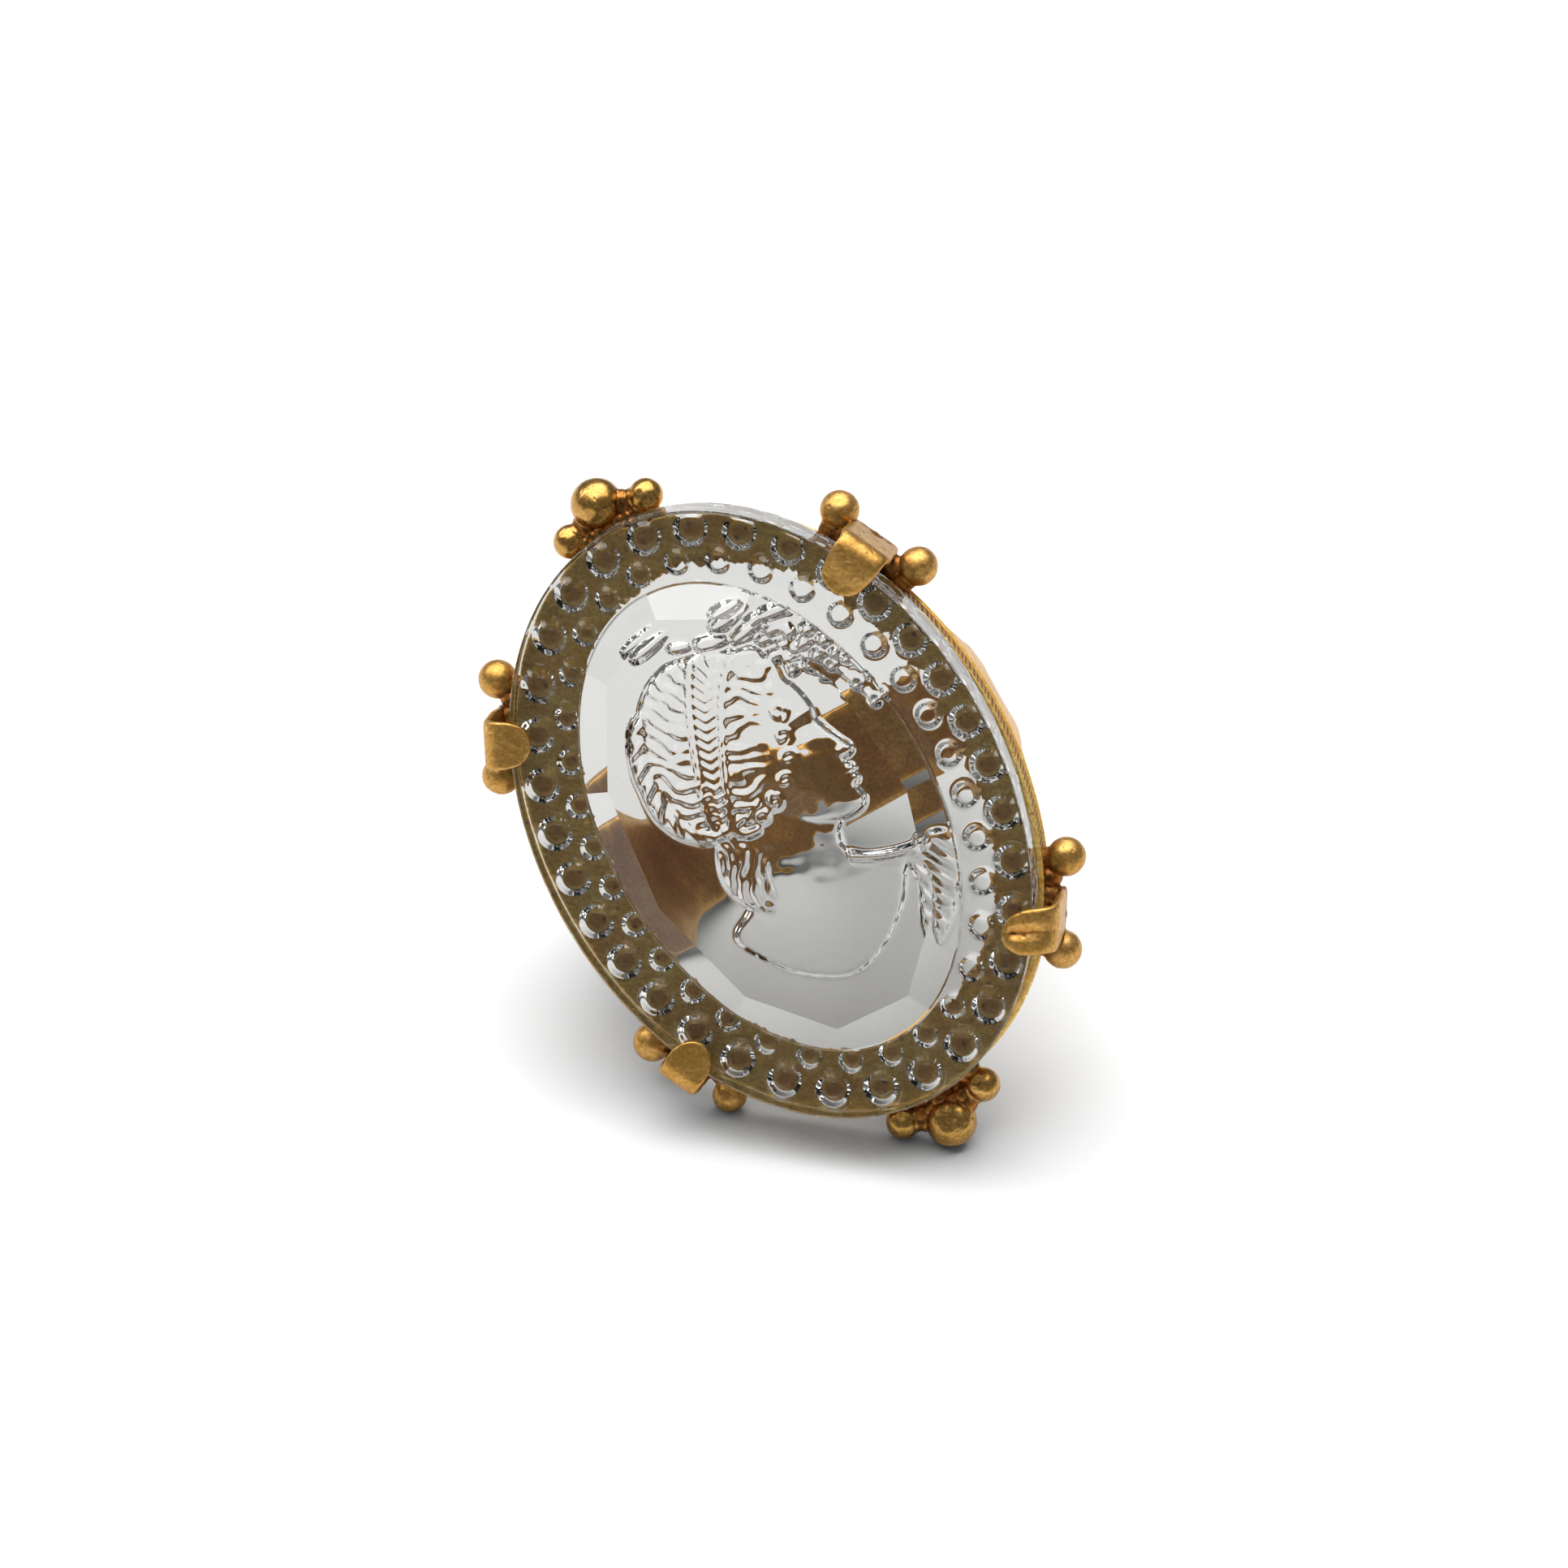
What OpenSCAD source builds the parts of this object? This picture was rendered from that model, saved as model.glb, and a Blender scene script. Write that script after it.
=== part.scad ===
// A finger ring with a large oval glass intaglio in an open-backed setting.
// The ring is drawn with its stone's seat at z = 0 and the stone's face up, then laid
// down the way it comes to rest: on the big ball at one end of the plate, on one ball
// beside a claw and on the edge of the shank.

/* [Stone] */
// Length of the oval glass
stone_l = 30; // [24:0.5:40]
// Width of the oval glass
stone_w = 22; // [18:0.5:30]
// Thickness of the flat outer zone of the glass
flange_t = 2.3; // [1.6:0.1:3.5]
// Distance from the rim of the glass in to the wall of its raised centre
crown_in = 3.3; // [2.8:0.1:4]
// Height of the raised centre above the flat zone
crown_h = 0.9; // [0.8:0.05:1.4]
// Width of the facets round the raised centre
facet_w = 1.2; // [0.8:0.05:1.3]
// Slope of the facets in degrees
facet_slope = 29; // [15:1:31]
// Number of facets round the raised centre
facet_count = 11; // [8:1:16]
// Number of dimples in each of the two rows
dimple_count = 33; // [24:1:36]
// Radius of a dimple of the outer row
outer_dimple_r = 0.82; // [0.5:0.02:0.9]
// Depth of a dimple of the outer row
outer_dimple_depth = 0.32; // [0.15:0.01:0.45]
// Distance from the rim of the glass to the centres of the outer row
outer_dimple_in = 1.05; // [1:0.05:1.2]
// Radius of a dimple of the inner row
inner_dimple_r = 0.6; // [0.4:0.02:0.65]
// Depth of a dimple of the inner row
inner_dimple_depth = 0.22; // [0.1:0.01:0.35]
// Distance from the rim of the glass to the centres of the inner row
inner_dimple_in = 2.5; // [2.4:0.05:2.8]

/* [Back plate] */
// Thickness of the back plate
plate_t = 1.25; // [0.8:0.05:1.8]
// How far the plate stands out past the glass
plate_margin = 0.08; // [0.05:0.01:0.5]
// Width of the flat ring of the plate that carries the glass
plate_ring_w = 2.5; // [1.8:0.05:3.2]
// How far the opening of the plate sits off its middle, across the plate
opening_shift = 0.45; // [0:0.05:0.5]
// Height of the thin lip round the foot of the plate
lip_h = 0.22; // [0.15:0.01:0.4]
// How far the lip stands out past the plate
lip_out = 0.08; // [0.05:0.01:0.2]

/* [Claws] */
// Thickness of a claw
claw_t = 0.45; // [0.3:0.05:0.6]
// Outside radius of the bend of a claw
claw_bend_r = 0.85; // [0.6:0.05:1]
// Distance from the rim of the glass to the outer face of a claw
claw_out = 1.25; // [0.9:0.05:1.4]
// Height of the foot that joins a claw to the plate
claw_foot_h = 0.9; // [0.5:0.05:1.1]

/* [Balls] */
// Radius of the small balls
ball_r = 0.78; // [0.6:0.02:0.9]
// Radius of the big ball at each end of the plate
big_ball_r = 1.18; // [1.1:0.02:1.5]
// Distance from the rim of the glass to a ball beside a claw
ball_out = 1.2; // [1:0.02:1.3]
// Depth of the centres of the balls below the seat of the stone
ball_drop = 0.8; // [0.7:0.05:1]
// Radius of the lump of solder that joins a ball to the plate
solder_r = 0.5; // [0.4:0.02:0.6]

/* [Shank] */
// Inside radius of the finger hole
finger_r = 8.45; // [7.5:0.05:10]
// Thickness of the band
band_t = 0.75; // [0.5:0.05:1.2]
// Width of the band at the back of the finger
band_w = 5.2; // [3:0.1:7]
// Width of the band where it meets the plate
shoulder_w = 12.4; // [9:0.2:13]
// Heights over the middle of the finger hole between which the band widens to that, as
// shares of the hole's radius
flare_low = -0.26; // [-0.4:0.01:0]
flare_high = 0.79; // [0.6:0.01:0.9]
// Distance from the finger hole up to the underside of the plate
finger_gap = 0.1; // [0:0.05:1]
// Outward lean of each shoulder in degrees
shoulder_lean = 4; // [0:0.5:6]
// How far the band sits off the middle of the plate, towards the end that it rests on
band_shift = 0.8; // [0:0.1:1.2]
// Tilt of the band along the length of the plate in degrees
band_tilt = 2.5; // [0:0.5:4]

/* [Clearances] */
// Gap between the glass and the plate
seat_gap = 0.04; // [0.02:0.01:0.1]
// Gap between the glass and a claw
claw_gap = 0.06; // [0.04:0.01:0.1]

/* [Hidden] */
gold = [0.72, 0.52, 0.2];
clear_glass = [0.86, 0.88, 0.87];
round_fn = 96;
ball_fn = 48;
// Every solid that cuts another runs this far past it.
run_out = 1;

// Each claw and each cluster of three balls: the place round the oval in degrees, and the
// turn to the small ball on either side of it.
PLACE = 0;
BALL_BEFORE = 1;
BALL_AFTER = 2;
// How far a claw reaches over the glass, and its width.
CLAW_REACH = 3;
CLAW_W = 4;
claws = [
  [33.5, 9.2, 7.8, 1.45, 2.4],
  [144.7, 9.7, 7.8, 1.05, 2.2],
  [213.5, 7.7, 9.1, 1.2, 2],
  [317.5, 6.7, 10.5, 1.35, 2.2],
];
// Distances from the rim of the glass to a cluster's big ball and to its small ones.
BIG_OUT = 3;
SMALL_OUT = 4;
clusters = [
  [92.3, 10.6, 9.8, 1.2, 0.6],
  [267.7, 9.4, 9.9, 1.8, 1.1],
];
// The claw and the cluster that the ring comes to rest beside.
rest_claw = claws[2];
rest_cluster = clusters[1];

face_z = seat_gap + flange_t;
table_z = face_z + crown_h;
claw_in_z = face_z + claw_gap;
claw_top_z = claw_in_z + claw_t;
band_r = finger_r + band_t;
band_z = -plate_t - finger_gap - finger_r;

// A point on an oval that lies a distance "out" from the rim of the glass.
function rim(turn, out) =
  [(stone_w / 2 + out) * cos(turn), (stone_l / 2 + out) * sin(turn)];
// The compass direction that faces straight out of the glass at that point.
function facing(turn) = atan2(sin(turn) / stone_l, cos(turn) / stone_w);
function lifted(point, z) = [point[0], point[1], z];
// The same point, measured square to the rim instead of outwards from the centre.
function beside(turn, out, z) =
  lifted(rim(turn, 0) + out * [cos(facing(turn)), sin(facing(turn))], z);
// The turns of the two small balls beside a claw or a big ball.
function small_turns(c) = [c[PLACE] - c[BALL_BEFORE], c[PLACE] + c[BALL_AFTER]];
// Turns that come out evenly spaced along an oval instead of evenly turned.
function evened(turn) =
  turn - (stone_l - stone_w) / (stone_l + stone_w) / 2 * 180 / PI * sin(2 * turn);
// The radius of the sphere that presses a dimple of a radius and a depth.
function press_r(r, depth) = (r * r + depth * depth) / (2 * depth);

module oval(out, h) {
  width = stone_w + 2 * out;
  length = stone_l + 2 * out;
  linear_extrude(h) scale([width / length, 1]) circle(d = length, $fn = round_fn);
}

module dimple_row(inset, r, depth, first) {
  press = press_r(r, depth);
  for (i = [0 : dimple_count - 1]) {
    turn = evened(first + i * 360 / dimple_count);
    translate(lifted(rim(turn, -inset), seat_gap + depth - press))
      sphere(r = press, $fn = ball_fn);
  }
}

// The wedge of space above one facet, between two corners of the table.
module facet_cut(corner, next) {
  edge = next - corner;
  middle = (corner + next) / 2;
  translate(lifted(middle, table_z))
    rotate([0, 0, atan2(-edge[0], edge[1])])
      rotate([0, facet_slope, 0])
        translate([-run_out, -norm(edge) * 2, 0])
          cube([stone_w, norm(edge) * 4, crown_h * 4]);
}

module crown() {
  first = 121;
  corners = [
    for (i = [0 : facet_count])
      rim(first + i * 360 / facet_count, -crown_in - facet_w)
  ];
  difference() {
    translate([0, 0, face_z - run_out]) oval(-crown_in, crown_h + run_out);
    for (i = [0 : facet_count - 1])
      facet_cut(corners[i], corners[i + 1]);
  }
}

module stone() {
  color(clear_glass) difference() {
    union() {
      translate([0, 0, seat_gap]) oval(0, flange_t);
      crown();
    }
    dimple_row(outer_dimple_in, outer_dimple_r, outer_dimple_depth, 270);
    dimple_row(inner_dimple_in, inner_dimple_r, inner_dimple_depth, 90);
  }
}

module back_plate() {
  difference() {
    union() {
      translate([0, 0, -plate_t]) oval(plate_margin, plate_t);
      translate([0, 0, -plate_t]) oval(plate_margin + lip_out, lip_h);
    }
    translate([opening_shift, 0, -plate_t - run_out])
      oval(plate_margin - plate_ring_w, plate_t + 2 * run_out);
  }
}

// The claw seen from the side, with the rim of the glass at x = 0. Its foot runs into the plate.
module claw_side(reach) {
  bend = [claw_out - claw_bend_r, claw_top_z - claw_bend_r];
  translate([-reach, claw_in_z]) square([reach + bend[0], claw_t]);
  translate([claw_out - claw_t, -plate_t]) square([claw_t, plate_t + bend[1]]);
  translate([-run_out, -plate_t]) square([run_out + claw_out, claw_foot_h]);
  intersection() {
    translate(bend) difference() {
      circle(r = claw_bend_r, $fn = round_fn);
      circle(r = claw_bend_r - claw_t, $fn = round_fn);
    }
    translate(bend) square(claw_bend_r);
  }
}

module claw(reach, w) {
  intersection() {
    rotate([90, 0, 0]) linear_extrude(w, center = true) claw_side(reach);
    translate([0, 0, -plate_t]) linear_extrude(plate_t + claw_top_z) {
      translate([w / 2 - reach, 0]) circle(d = w, $fn = round_fn);
      translate([w / 2 - reach, -w / 2]) square([reach + claw_out, w]);
    }
  }
}

// A ball beside the rim, and the lump of solder between it and the plate.
module soldered_ball(turn, out, r) {
  translate(beside(turn, out, -ball_drop)) sphere(r = r, $fn = ball_fn);
  translate(beside(turn, solder_r * 0.8, -ball_drop - solder_r / 4))
    sphere(r = solder_r, $fn = ball_fn);
}

module claws_and_balls() {
  for (c = claws) {
    translate(beside(c[PLACE], 0, 0)) rotate([0, 0, facing(c[PLACE])]) claw(c[CLAW_REACH], c[CLAW_W]);
    for (turn = small_turns(c)) soldered_ball(turn, ball_out, ball_r);
  }
}

module ball_cluster(c) {
  big = beside(c[PLACE], c[BIG_OUT], -ball_drop);
  soldered_ball(c[PLACE], c[BIG_OUT], big_ball_r);
  for (turn = small_turns(c)) {
    soldered_ball(turn, c[SMALL_OUT], ball_r);
    translate((big + beside(turn, c[SMALL_OUT], -ball_drop)) / 2) sphere(r = solder_r, $fn = ball_fn);
  }
}

// Half of the band's side view: round below, and straight up the leaning shoulder.
module shoulder_side() {
  rise = -band_z - plate_t / 2;
  foot_z = -sin(shoulder_lean);
  foot_x = cos(shoulder_lean);
  top_x = (rise - finger_r * foot_z) * tan(shoulder_lean);
  inner_foot = finger_r * [foot_x, foot_z];
  outer_foot = band_r * [foot_x, foot_z];
  polygon([
    inner_foot,
    [inner_foot[0] + top_x, rise],
    [inner_foot[0] + top_x + band_t / foot_x, rise],
    outer_foot,
  ]);
}

module band_side() {
  foot = [cos(shoulder_lean), -sin(shoulder_lean)];
  far = 2 * band_r;
  difference() {
    circle(r = band_r, $fn = round_fn);
    circle(r = finger_r, $fn = round_fn);
    polygon([[0, 0], far * foot, [far, far], [-far, far], [-far * foot[0], far * foot[1]]]);
  }
  shoulder_side();
  mirror([1, 0]) shoulder_side();
}

// Half of the band's width at a share of the way up the flare: it grows slowly at both ends.
function half_width(share) =
  band_w / 2 + (shoulder_w - band_w) / 2 * share * share * (3 - 2 * share);

// The band seen from the end of the plate, narrow below and flaring out to the shoulders.
module band_outline() {
  steps = 10;
  low = flare_low * finger_r;
  rise = (flare_high - flare_low) * finger_r / steps;
  flare = [for (i = [0 : steps]) [half_width(i / steps), low + i * rise]];
  foot = [band_w / 2, -band_r - run_out];
  top = [shoulder_w / 2, -band_z];
  half = concat([foot], flare, [top]);
  polygon(concat(half, [for (i = [len(half) - 1 : -1 : 0]) [-half[i][0], half[i][1]]]));
}

module shank() {
  translate([0, -band_shift, -plate_t]) rotate([-band_tilt, 0, 0])
    translate([0, 0, band_z + plate_t]) intersection() {
      rotate([90, 0, 0]) linear_extrude(shoulder_w + 2 * run_out, center = true) band_side();
      rotate([90, 0, 90]) linear_extrude(4 * band_r, center = true) band_outline();
    }
}

module setting() {
  color(gold) union() {
    back_plate();
    claws_and_balls();
    for (c = clusters) ball_cluster(c);
    shank();
  }
}

// The rest of the file works out how the ring lies on a level surface.
rest_ball = beside(small_turns(rest_claw)[1], ball_out, -ball_drop);
rest_big_ball = beside(rest_cluster[PLACE], rest_cluster[BIG_OUT], -ball_drop);

function unit(v) = v / norm(v);
// A point of the band, from its own axes to those of the plate.
function on_band(p) =
  [
    p[0],
    -band_shift + p[1] * cos(band_tilt) + (p[2] + band_z + plate_t) * sin(band_tilt),
    -plate_t - p[1] * sin(band_tilt) + (p[2] + band_z + plate_t) * cos(band_tilt),
  ];
// The lowest point of the band's outer edge when the direction "up" points up.
function band_foot(up) =
  let (across = up[0], along = up[2] * cos(band_tilt) + up[1] * sin(band_tilt))
  let (r = band_r / norm([across, along]))
  on_band([-across * r, -band_w / 2, -along * r]);
// The up direction of the plane that touches both balls from below and holds a point.
function up_over(foot) =
  let (a = rest_big_ball - foot, b = rest_ball - foot)
  let (det = (a * a) * (b * b) - (a * b) * (a * b))
  let (ka = (big_ball_r * (b * b) - ball_r * (a * b)) / det)
  let (kb = (ball_r * (a * a) - big_ball_r * (a * b)) / det)
  let (flat = ka * a + kb * b, square_to = unit(cross(b, a)))
  flat + sqrt(1 - flat * flat) * square_to;
// Each pass moves the foot along the edge of the band, until it stays where it is.
function settled(up, passes) = passes == 0 ? up : settled(up_over(band_foot(up)), passes - 1);

up = settled(unit([1, 1, 1]), 12);
// The face of the stone looks towards -Y of the surface that the ring lies on.
back = unit(up[2] * up - [0, 0, 1]);
right = cross(back, up);

function ball_reach(centre, r, dir) = centre * dir + r;
function oval_reach(out, z, dir) =
  norm([(stone_w / 2 + out) * dir[0], (stone_l / 2 + out) * dir[1]]) + z * dir[2];
function band_reach(side, dir) =
  let (along = dir[2] * cos(band_tilt) + dir[1] * sin(band_tilt))
  band_r * norm([dir[0], along]) + on_band([0, side * band_w / 2, 0]) * dir;
function claw_reach(c, dir) =
  let (turn = facing(c[PLACE]), outward = [cos(turn), sin(turn), 0])
  let (bend = beside(c[PLACE], claw_out - claw_bend_r, claw_top_z - claw_bend_r))
  let (foot = beside(c[PLACE], claw_out, -plate_t))
  max(bend * dir + claw_bend_r * norm([outward * dir, dir[2]]), foot * dir)
  + c[CLAW_W] / 2 * abs(cross(outward, [0, 0, 1]) * dir);
// How far the ring reaches in a direction from the middle of the stone's seat.
function reach(dir) =
  max(concat(
    [oval_reach(0, face_z, dir), oval_reach(plate_margin + lip_out, -plate_t, dir)],
    [for (side = [-1, 1]) band_reach(side, dir)],
    [for (c = claws) claw_reach(c, dir)],
    [for (c = clusters) ball_reach(beside(c[PLACE], c[BIG_OUT], -ball_drop), big_ball_r, dir)],
    [
      for (c = clusters, turn = small_turns(c))
        ball_reach(beside(turn, c[SMALL_OUT], -ball_drop), ball_r, dir)
    ],
    [for (c = claws, turn = small_turns(c)) ball_reach(beside(turn, ball_out, -ball_drop), ball_r, dir)]
  ));
function middle_along(dir) = (reach(dir) - reach(-dir)) / 2;

module at_rest() {
  multmatrix([
    [right[0], right[1], right[2], -middle_along(right)],
    [back[0], back[1], back[2], -middle_along(back)],
    [up[0], up[1], up[2], reach(-up)],
  ]) children();
}

at_rest() setting();
at_rest() stone();
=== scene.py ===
"""Looks of a finger ring with a large oval glass intaglio in an open-backed gold setting.

Every shape is worked out in the ring's own axes, in millimetres: the stone's seat is at
z = 0, its face looks along +Z and its length runs along Y. The row's frame has the ring
laid on a level surface, and placed() carries points there.
"""
import math

import bpy
import numpy as np
from bpy.props import FloatProperty, FloatVectorProperty, IntProperty, PointerProperty
from mathutils import Matrix, Vector


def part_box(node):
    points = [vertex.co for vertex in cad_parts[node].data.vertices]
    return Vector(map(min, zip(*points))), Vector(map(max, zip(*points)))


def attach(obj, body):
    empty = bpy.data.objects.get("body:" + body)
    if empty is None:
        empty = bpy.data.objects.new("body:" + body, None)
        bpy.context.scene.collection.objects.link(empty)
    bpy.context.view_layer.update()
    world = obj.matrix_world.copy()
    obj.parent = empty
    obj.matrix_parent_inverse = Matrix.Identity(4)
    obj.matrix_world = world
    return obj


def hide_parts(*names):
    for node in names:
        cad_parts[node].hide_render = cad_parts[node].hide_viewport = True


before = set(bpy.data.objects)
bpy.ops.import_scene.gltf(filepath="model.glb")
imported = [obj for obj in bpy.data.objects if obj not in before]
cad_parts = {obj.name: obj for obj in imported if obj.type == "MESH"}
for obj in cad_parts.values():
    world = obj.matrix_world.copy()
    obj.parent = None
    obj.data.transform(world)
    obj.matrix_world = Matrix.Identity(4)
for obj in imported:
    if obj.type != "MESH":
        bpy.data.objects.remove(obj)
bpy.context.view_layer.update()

bl_info = {
    "name": "Glass intaglio ring",
    "version": (1, 0, 0),
    "blender": (4, 5, 0),
    "location": "View3D > Sidebar > Ring",
    "description": "Builds the glass, the setting and the studio of a large oval ring",
    "category": "Object",
}

MM = 0.001
SEED = 7


class StoneSizes(bpy.types.PropertyGroup):
    """Sizes of the glass."""
    length: FloatProperty(
        name="Length", description="Length of the oval glass", default=30 * MM, unit="LENGTH")
    width: FloatProperty(
        name="Width", description="Width of the oval glass", default=22 * MM, unit="LENGTH")
    flange: FloatProperty(
        name="Flange", description="Thickness of the flat outer zone", default=2.3 * MM,
        unit="LENGTH")
    crown_in: FloatProperty(
        name="Crown inset", description="From the rim in to the wall of the raised centre",
        default=3.3 * MM, unit="LENGTH")
    crown_h: FloatProperty(
        name="Crown height", description="Height of the raised centre", default=0.9 * MM,
        unit="LENGTH")
    facet_w: FloatProperty(
        name="Facet width", description="Width of the facets", default=1.2 * MM, unit="LENGTH")
    facet_slope: FloatProperty(
        name="Facet slope", description="Slope of the facets", default=math.radians(29),
        subtype="ANGLE")
    facets: IntProperty(
        name="Facets", description="Number of facets round the raised centre", default=11, min=8)
    dimples: IntProperty(
        name="Dimples", description="Dimples in each of the two rows", default=33, min=8)
    carving: FloatProperty(
        name="Carving", description="Depth of the deepest part of the bust", default=0.85 * MM,
        unit="LENGTH")
    # Partly painted shade: the glass's own faint grey-green is darkened so that the floor and metal seen
    # through it look shaded.
    tint_and_shade: FloatVectorProperty(
        name="Tint", description="Colour of the glass", default=(0.57, 0.57, 0.555),
        subtype="COLOR", size=3)


class MetalSizes(bpy.types.PropertyGroup):
    """Sizes and colours of the setting."""
    plate: FloatProperty(
        name="Plate", description="Thickness of the back plate", default=1.25 * MM, unit="LENGTH")
    margin: FloatProperty(
        name="Margin", description="How far the plate stands out past the glass", default=0.08 * MM,
        unit="LENGTH")
    ring_w: FloatProperty(
        name="Plate ring", description="Width of the flat ring of the plate", default=2.5 * MM,
        unit="LENGTH")
    lip_h: FloatProperty(
        name="Lip height", description="Height of the lip at the foot of the plate",
        default=0.22 * MM, unit="LENGTH")
    lip_out: FloatProperty(
        name="Lip", description="How far the lip stands out", default=0.08 * MM, unit="LENGTH")
    finger_r: FloatProperty(
        name="Finger hole", description="Inside radius of the finger hole", default=8.45 * MM,
        unit="LENGTH")
    band_t: FloatProperty(
        name="Band thickness", description="Thickness of the band", default=0.75 * MM,
        unit="LENGTH")
    band_w: FloatProperty(
        name="Band width", description="Width of the band at the back of the finger",
        default=5.2 * MM, unit="LENGTH")
    shoulder_w: FloatProperty(
        name="Shoulder width", description="Width of the band at the plate", default=12.4 * MM,
        unit="LENGTH")
    ball_r: FloatProperty(
        name="Ball", description="Radius of the small balls", default=0.78 * MM, unit="LENGTH")
    big_ball_r: FloatProperty(
        name="Big ball", description="Radius of the big balls", default=1.18 * MM, unit="LENGTH")
    gold: FloatVectorProperty(
        name="Gold", description="Colour of the clean metal", default=(0.5, 0.288, 0.074),
        subtype="COLOR", size=3)
    # Partly painted light: the plate's own pale, dull metal is made brighter to make up for the light the
    # tinted glass keeps from the plate.
    plate_gold: FloatVectorProperty(
        name="Plate gold", description="Colour of the plate's dull, pale metal",
        default=(1.0, 0.61, 0.14), subtype="COLOR", size=3)
    # Also the colour of the painted shade under the glass's dimples on the back plate.
    patina: FloatVectorProperty(
        name="Patina", description="Colour of the dark patina", default=(0.075, 0.036, 0.012),
        subtype="COLOR", size=3)
    # Also tints the painted shade under the glass's dimples on the back plate.
    rouge: FloatVectorProperty(
        name="Rouge", description="Colour of the old polish left in the corners",
        default=(0.42, 0.15, 0.035), subtype="COLOR", size=3)


class StageSizes(bpy.types.PropertyGroup):
    """Sizes of the studio."""
    floor: FloatProperty(name="Floor", description="Width of the floor", default=2.4, unit="LENGTH")
    camera_far: FloatProperty(
        name="Camera distance", description="From the camera to the stone", default=0.42,
        unit="LENGTH")


def mm(length):
    """A property's length in millimetres."""
    return length / MM


# Values that the shapes share and that no user would change by themselves.
SEAT_GAP = 0.04
CLAW_GAP = 0.06
CLAW_T = 0.45
CLAW_BEND_R = 0.85
CLAW_OUT = 1.25
FLARE_LOW = -0.26
FLARE_HIGH = 0.79
FINGER_GAP = 0.1
SHOULDER_LEAN = 4
BAND_SHIFT = 0.8
BAND_TILT = 2.5
BALL_OUT = 1.2
BALL_DROP = 0.8
SOLDER_R = 0.5
# The cells of the skin over soldered pieces, and how many times it is smoothed.
SKIN_CELL = 0.05
SKIN_ROUNDS = 5
# How many times the skin is blurred to find its hollows.
HOLLOW_ROUNDS = 12
# Where the solder starts, outward from the rim of the glass, and how much fuller it stands at
# the foot of a claw.
SOLDER_START = 0.1
FOOT_GROWTH = 1.05
# Each claw: its place round the oval and the turns to the balls before and after it, in
# degrees, its reach over the glass, its width, how far its tip is bent along the rim, how far
# its edges curl up, and the depth of the furrow along it.
CLAWS = {
    "claw_upper_right": (33.5, 9.2, 7.8, 1.45, 2.4, 0.05, 0.0, 0.0),
    "claw_upper_left": (144.7, 9.7, 7.8, 1.05, 2.2, 0.0, 0.08, 0.0),
    "claw_lower_left": (213.5, 7.7, 9.1, 1.2, 2.0, 0.0, 0.14, 0.0),
    "claw_lower_right": (317.5, 6.7, 10.5, 1.35, 2.2, -0.4, 0.0, 0.2),
}
# How much fuller the balls stand than their stated radius: those beside the claws, the one of
# them that the ring rests on, and the big and small ones of the clusters.
CLAW_BALL_GROWTH = 1.17
REST_BALL_GROWTH = 1.04
BIG_BALL_GROWTH = 1.01
SMALL_BALL_GROWTH = 1.04
# Distance from the rim of the glass in to the ragged edge of the plate's opening, and out to
# the edge of the plate, each with its turn in degrees.
OPENING_IN = (
    (0, 1.8), (30, 1.85), (42, 1.95), (55, 2.35), (70, 2.75), (90, 3.0), (105, 3.3), (120, 3.4),
    (278, 3.4), (288, 2.9), (300, 2.4), (315, 1.95), (340, 1.8),
)
PLATE_OUT = (
    (0, 0.1), (20, 0), (38, -0.2), (48, -0.38), (80, -0.38), (92, -0.2), (105, -0.12), (120, -0.05),
    (150, 0), (265, 0.02), (300, 0.16), (315, 0.24), (330, 0.2),
)
# Each row of dimples: its inset from the rim of the glass, the radius and depth of a dimple,
# the radius of the painted shade under it on the plate, and the turn of its first dimple.
DIMPLE_ROWS = ((1.05, 0.86, 0.46, 0.66, 270), (2.5, 0.64, 0.36, 0.46, 90))
# The share of a dimple's radius that its wall takes.
DIMPLE_WALL = 0.42
# Turn of the first corner of the table, in degrees.
FIRST_CORNER = 121
# Each cluster: its place and the turns to the small balls before and after the big one, in
# degrees, and the distances from the rim of the glass to the big ball and the small ones.
CLUSTERS = {
    "ball_cluster_top": (92.3, 10.6, 9.8, 1.2, 0.6),
    "ball_cluster_bottom": (267.7, 9.4, 9.9, 1.8, 1.1),
}


def sizes():
    """The stone's and the metal's property groups."""
    return bpy.context.scene.ring_stone, bpy.context.scene.ring_metal


def rim(turn, out):
    """Points of an oval that lies a distance out from the rim of the glass; turn in radians."""
    stone = sizes()[0]
    turn = np.asarray(turn, float)
    across = (mm(stone.width) / 2 + out) * np.cos(turn)
    along = (mm(stone.length) / 2 + out) * np.sin(turn)
    return np.stack([across, along], -1)


def facing(turn):
    """The compass direction that faces straight out of the glass at a turn, in radians."""
    stone = sizes()[0]
    return np.arctan2(np.sin(turn) / stone.length, np.cos(turn) / stone.width)


def beside(turn, out, z):
    """A point a distance square to the rim, at height z; turn in radians."""
    way = facing(turn)
    flat = rim(turn, 0) + out * np.stack([np.cos(way), np.sin(way)], -1)
    return np.concatenate([flat, np.full(flat.shape[:-1] + (1,), float(z))], -1)


def band_centre():
    """Height of the middle of the finger hole under the stone's seat, before the band is tilted."""
    metal = sizes()[1]
    return -mm(metal.plate) - FINGER_GAP - mm(metal.finger_r)


def on_band(points):
    """Carries points from the band's own axes to the stone's: shifted along the plate and tilted
    about its underside."""
    plate = mm(sizes()[1].plate)
    tilt = math.radians(BAND_TILT)
    points = np.asarray(points, float)
    height = points[..., 2] + band_centre() + plate
    return np.stack([
        points[..., 0],
        -BAND_SHIFT + points[..., 1] * math.cos(tilt) + height * math.sin(tilt),
        -plate - points[..., 1] * math.sin(tilt) + height * math.cos(tilt),
    ], -1)


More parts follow.
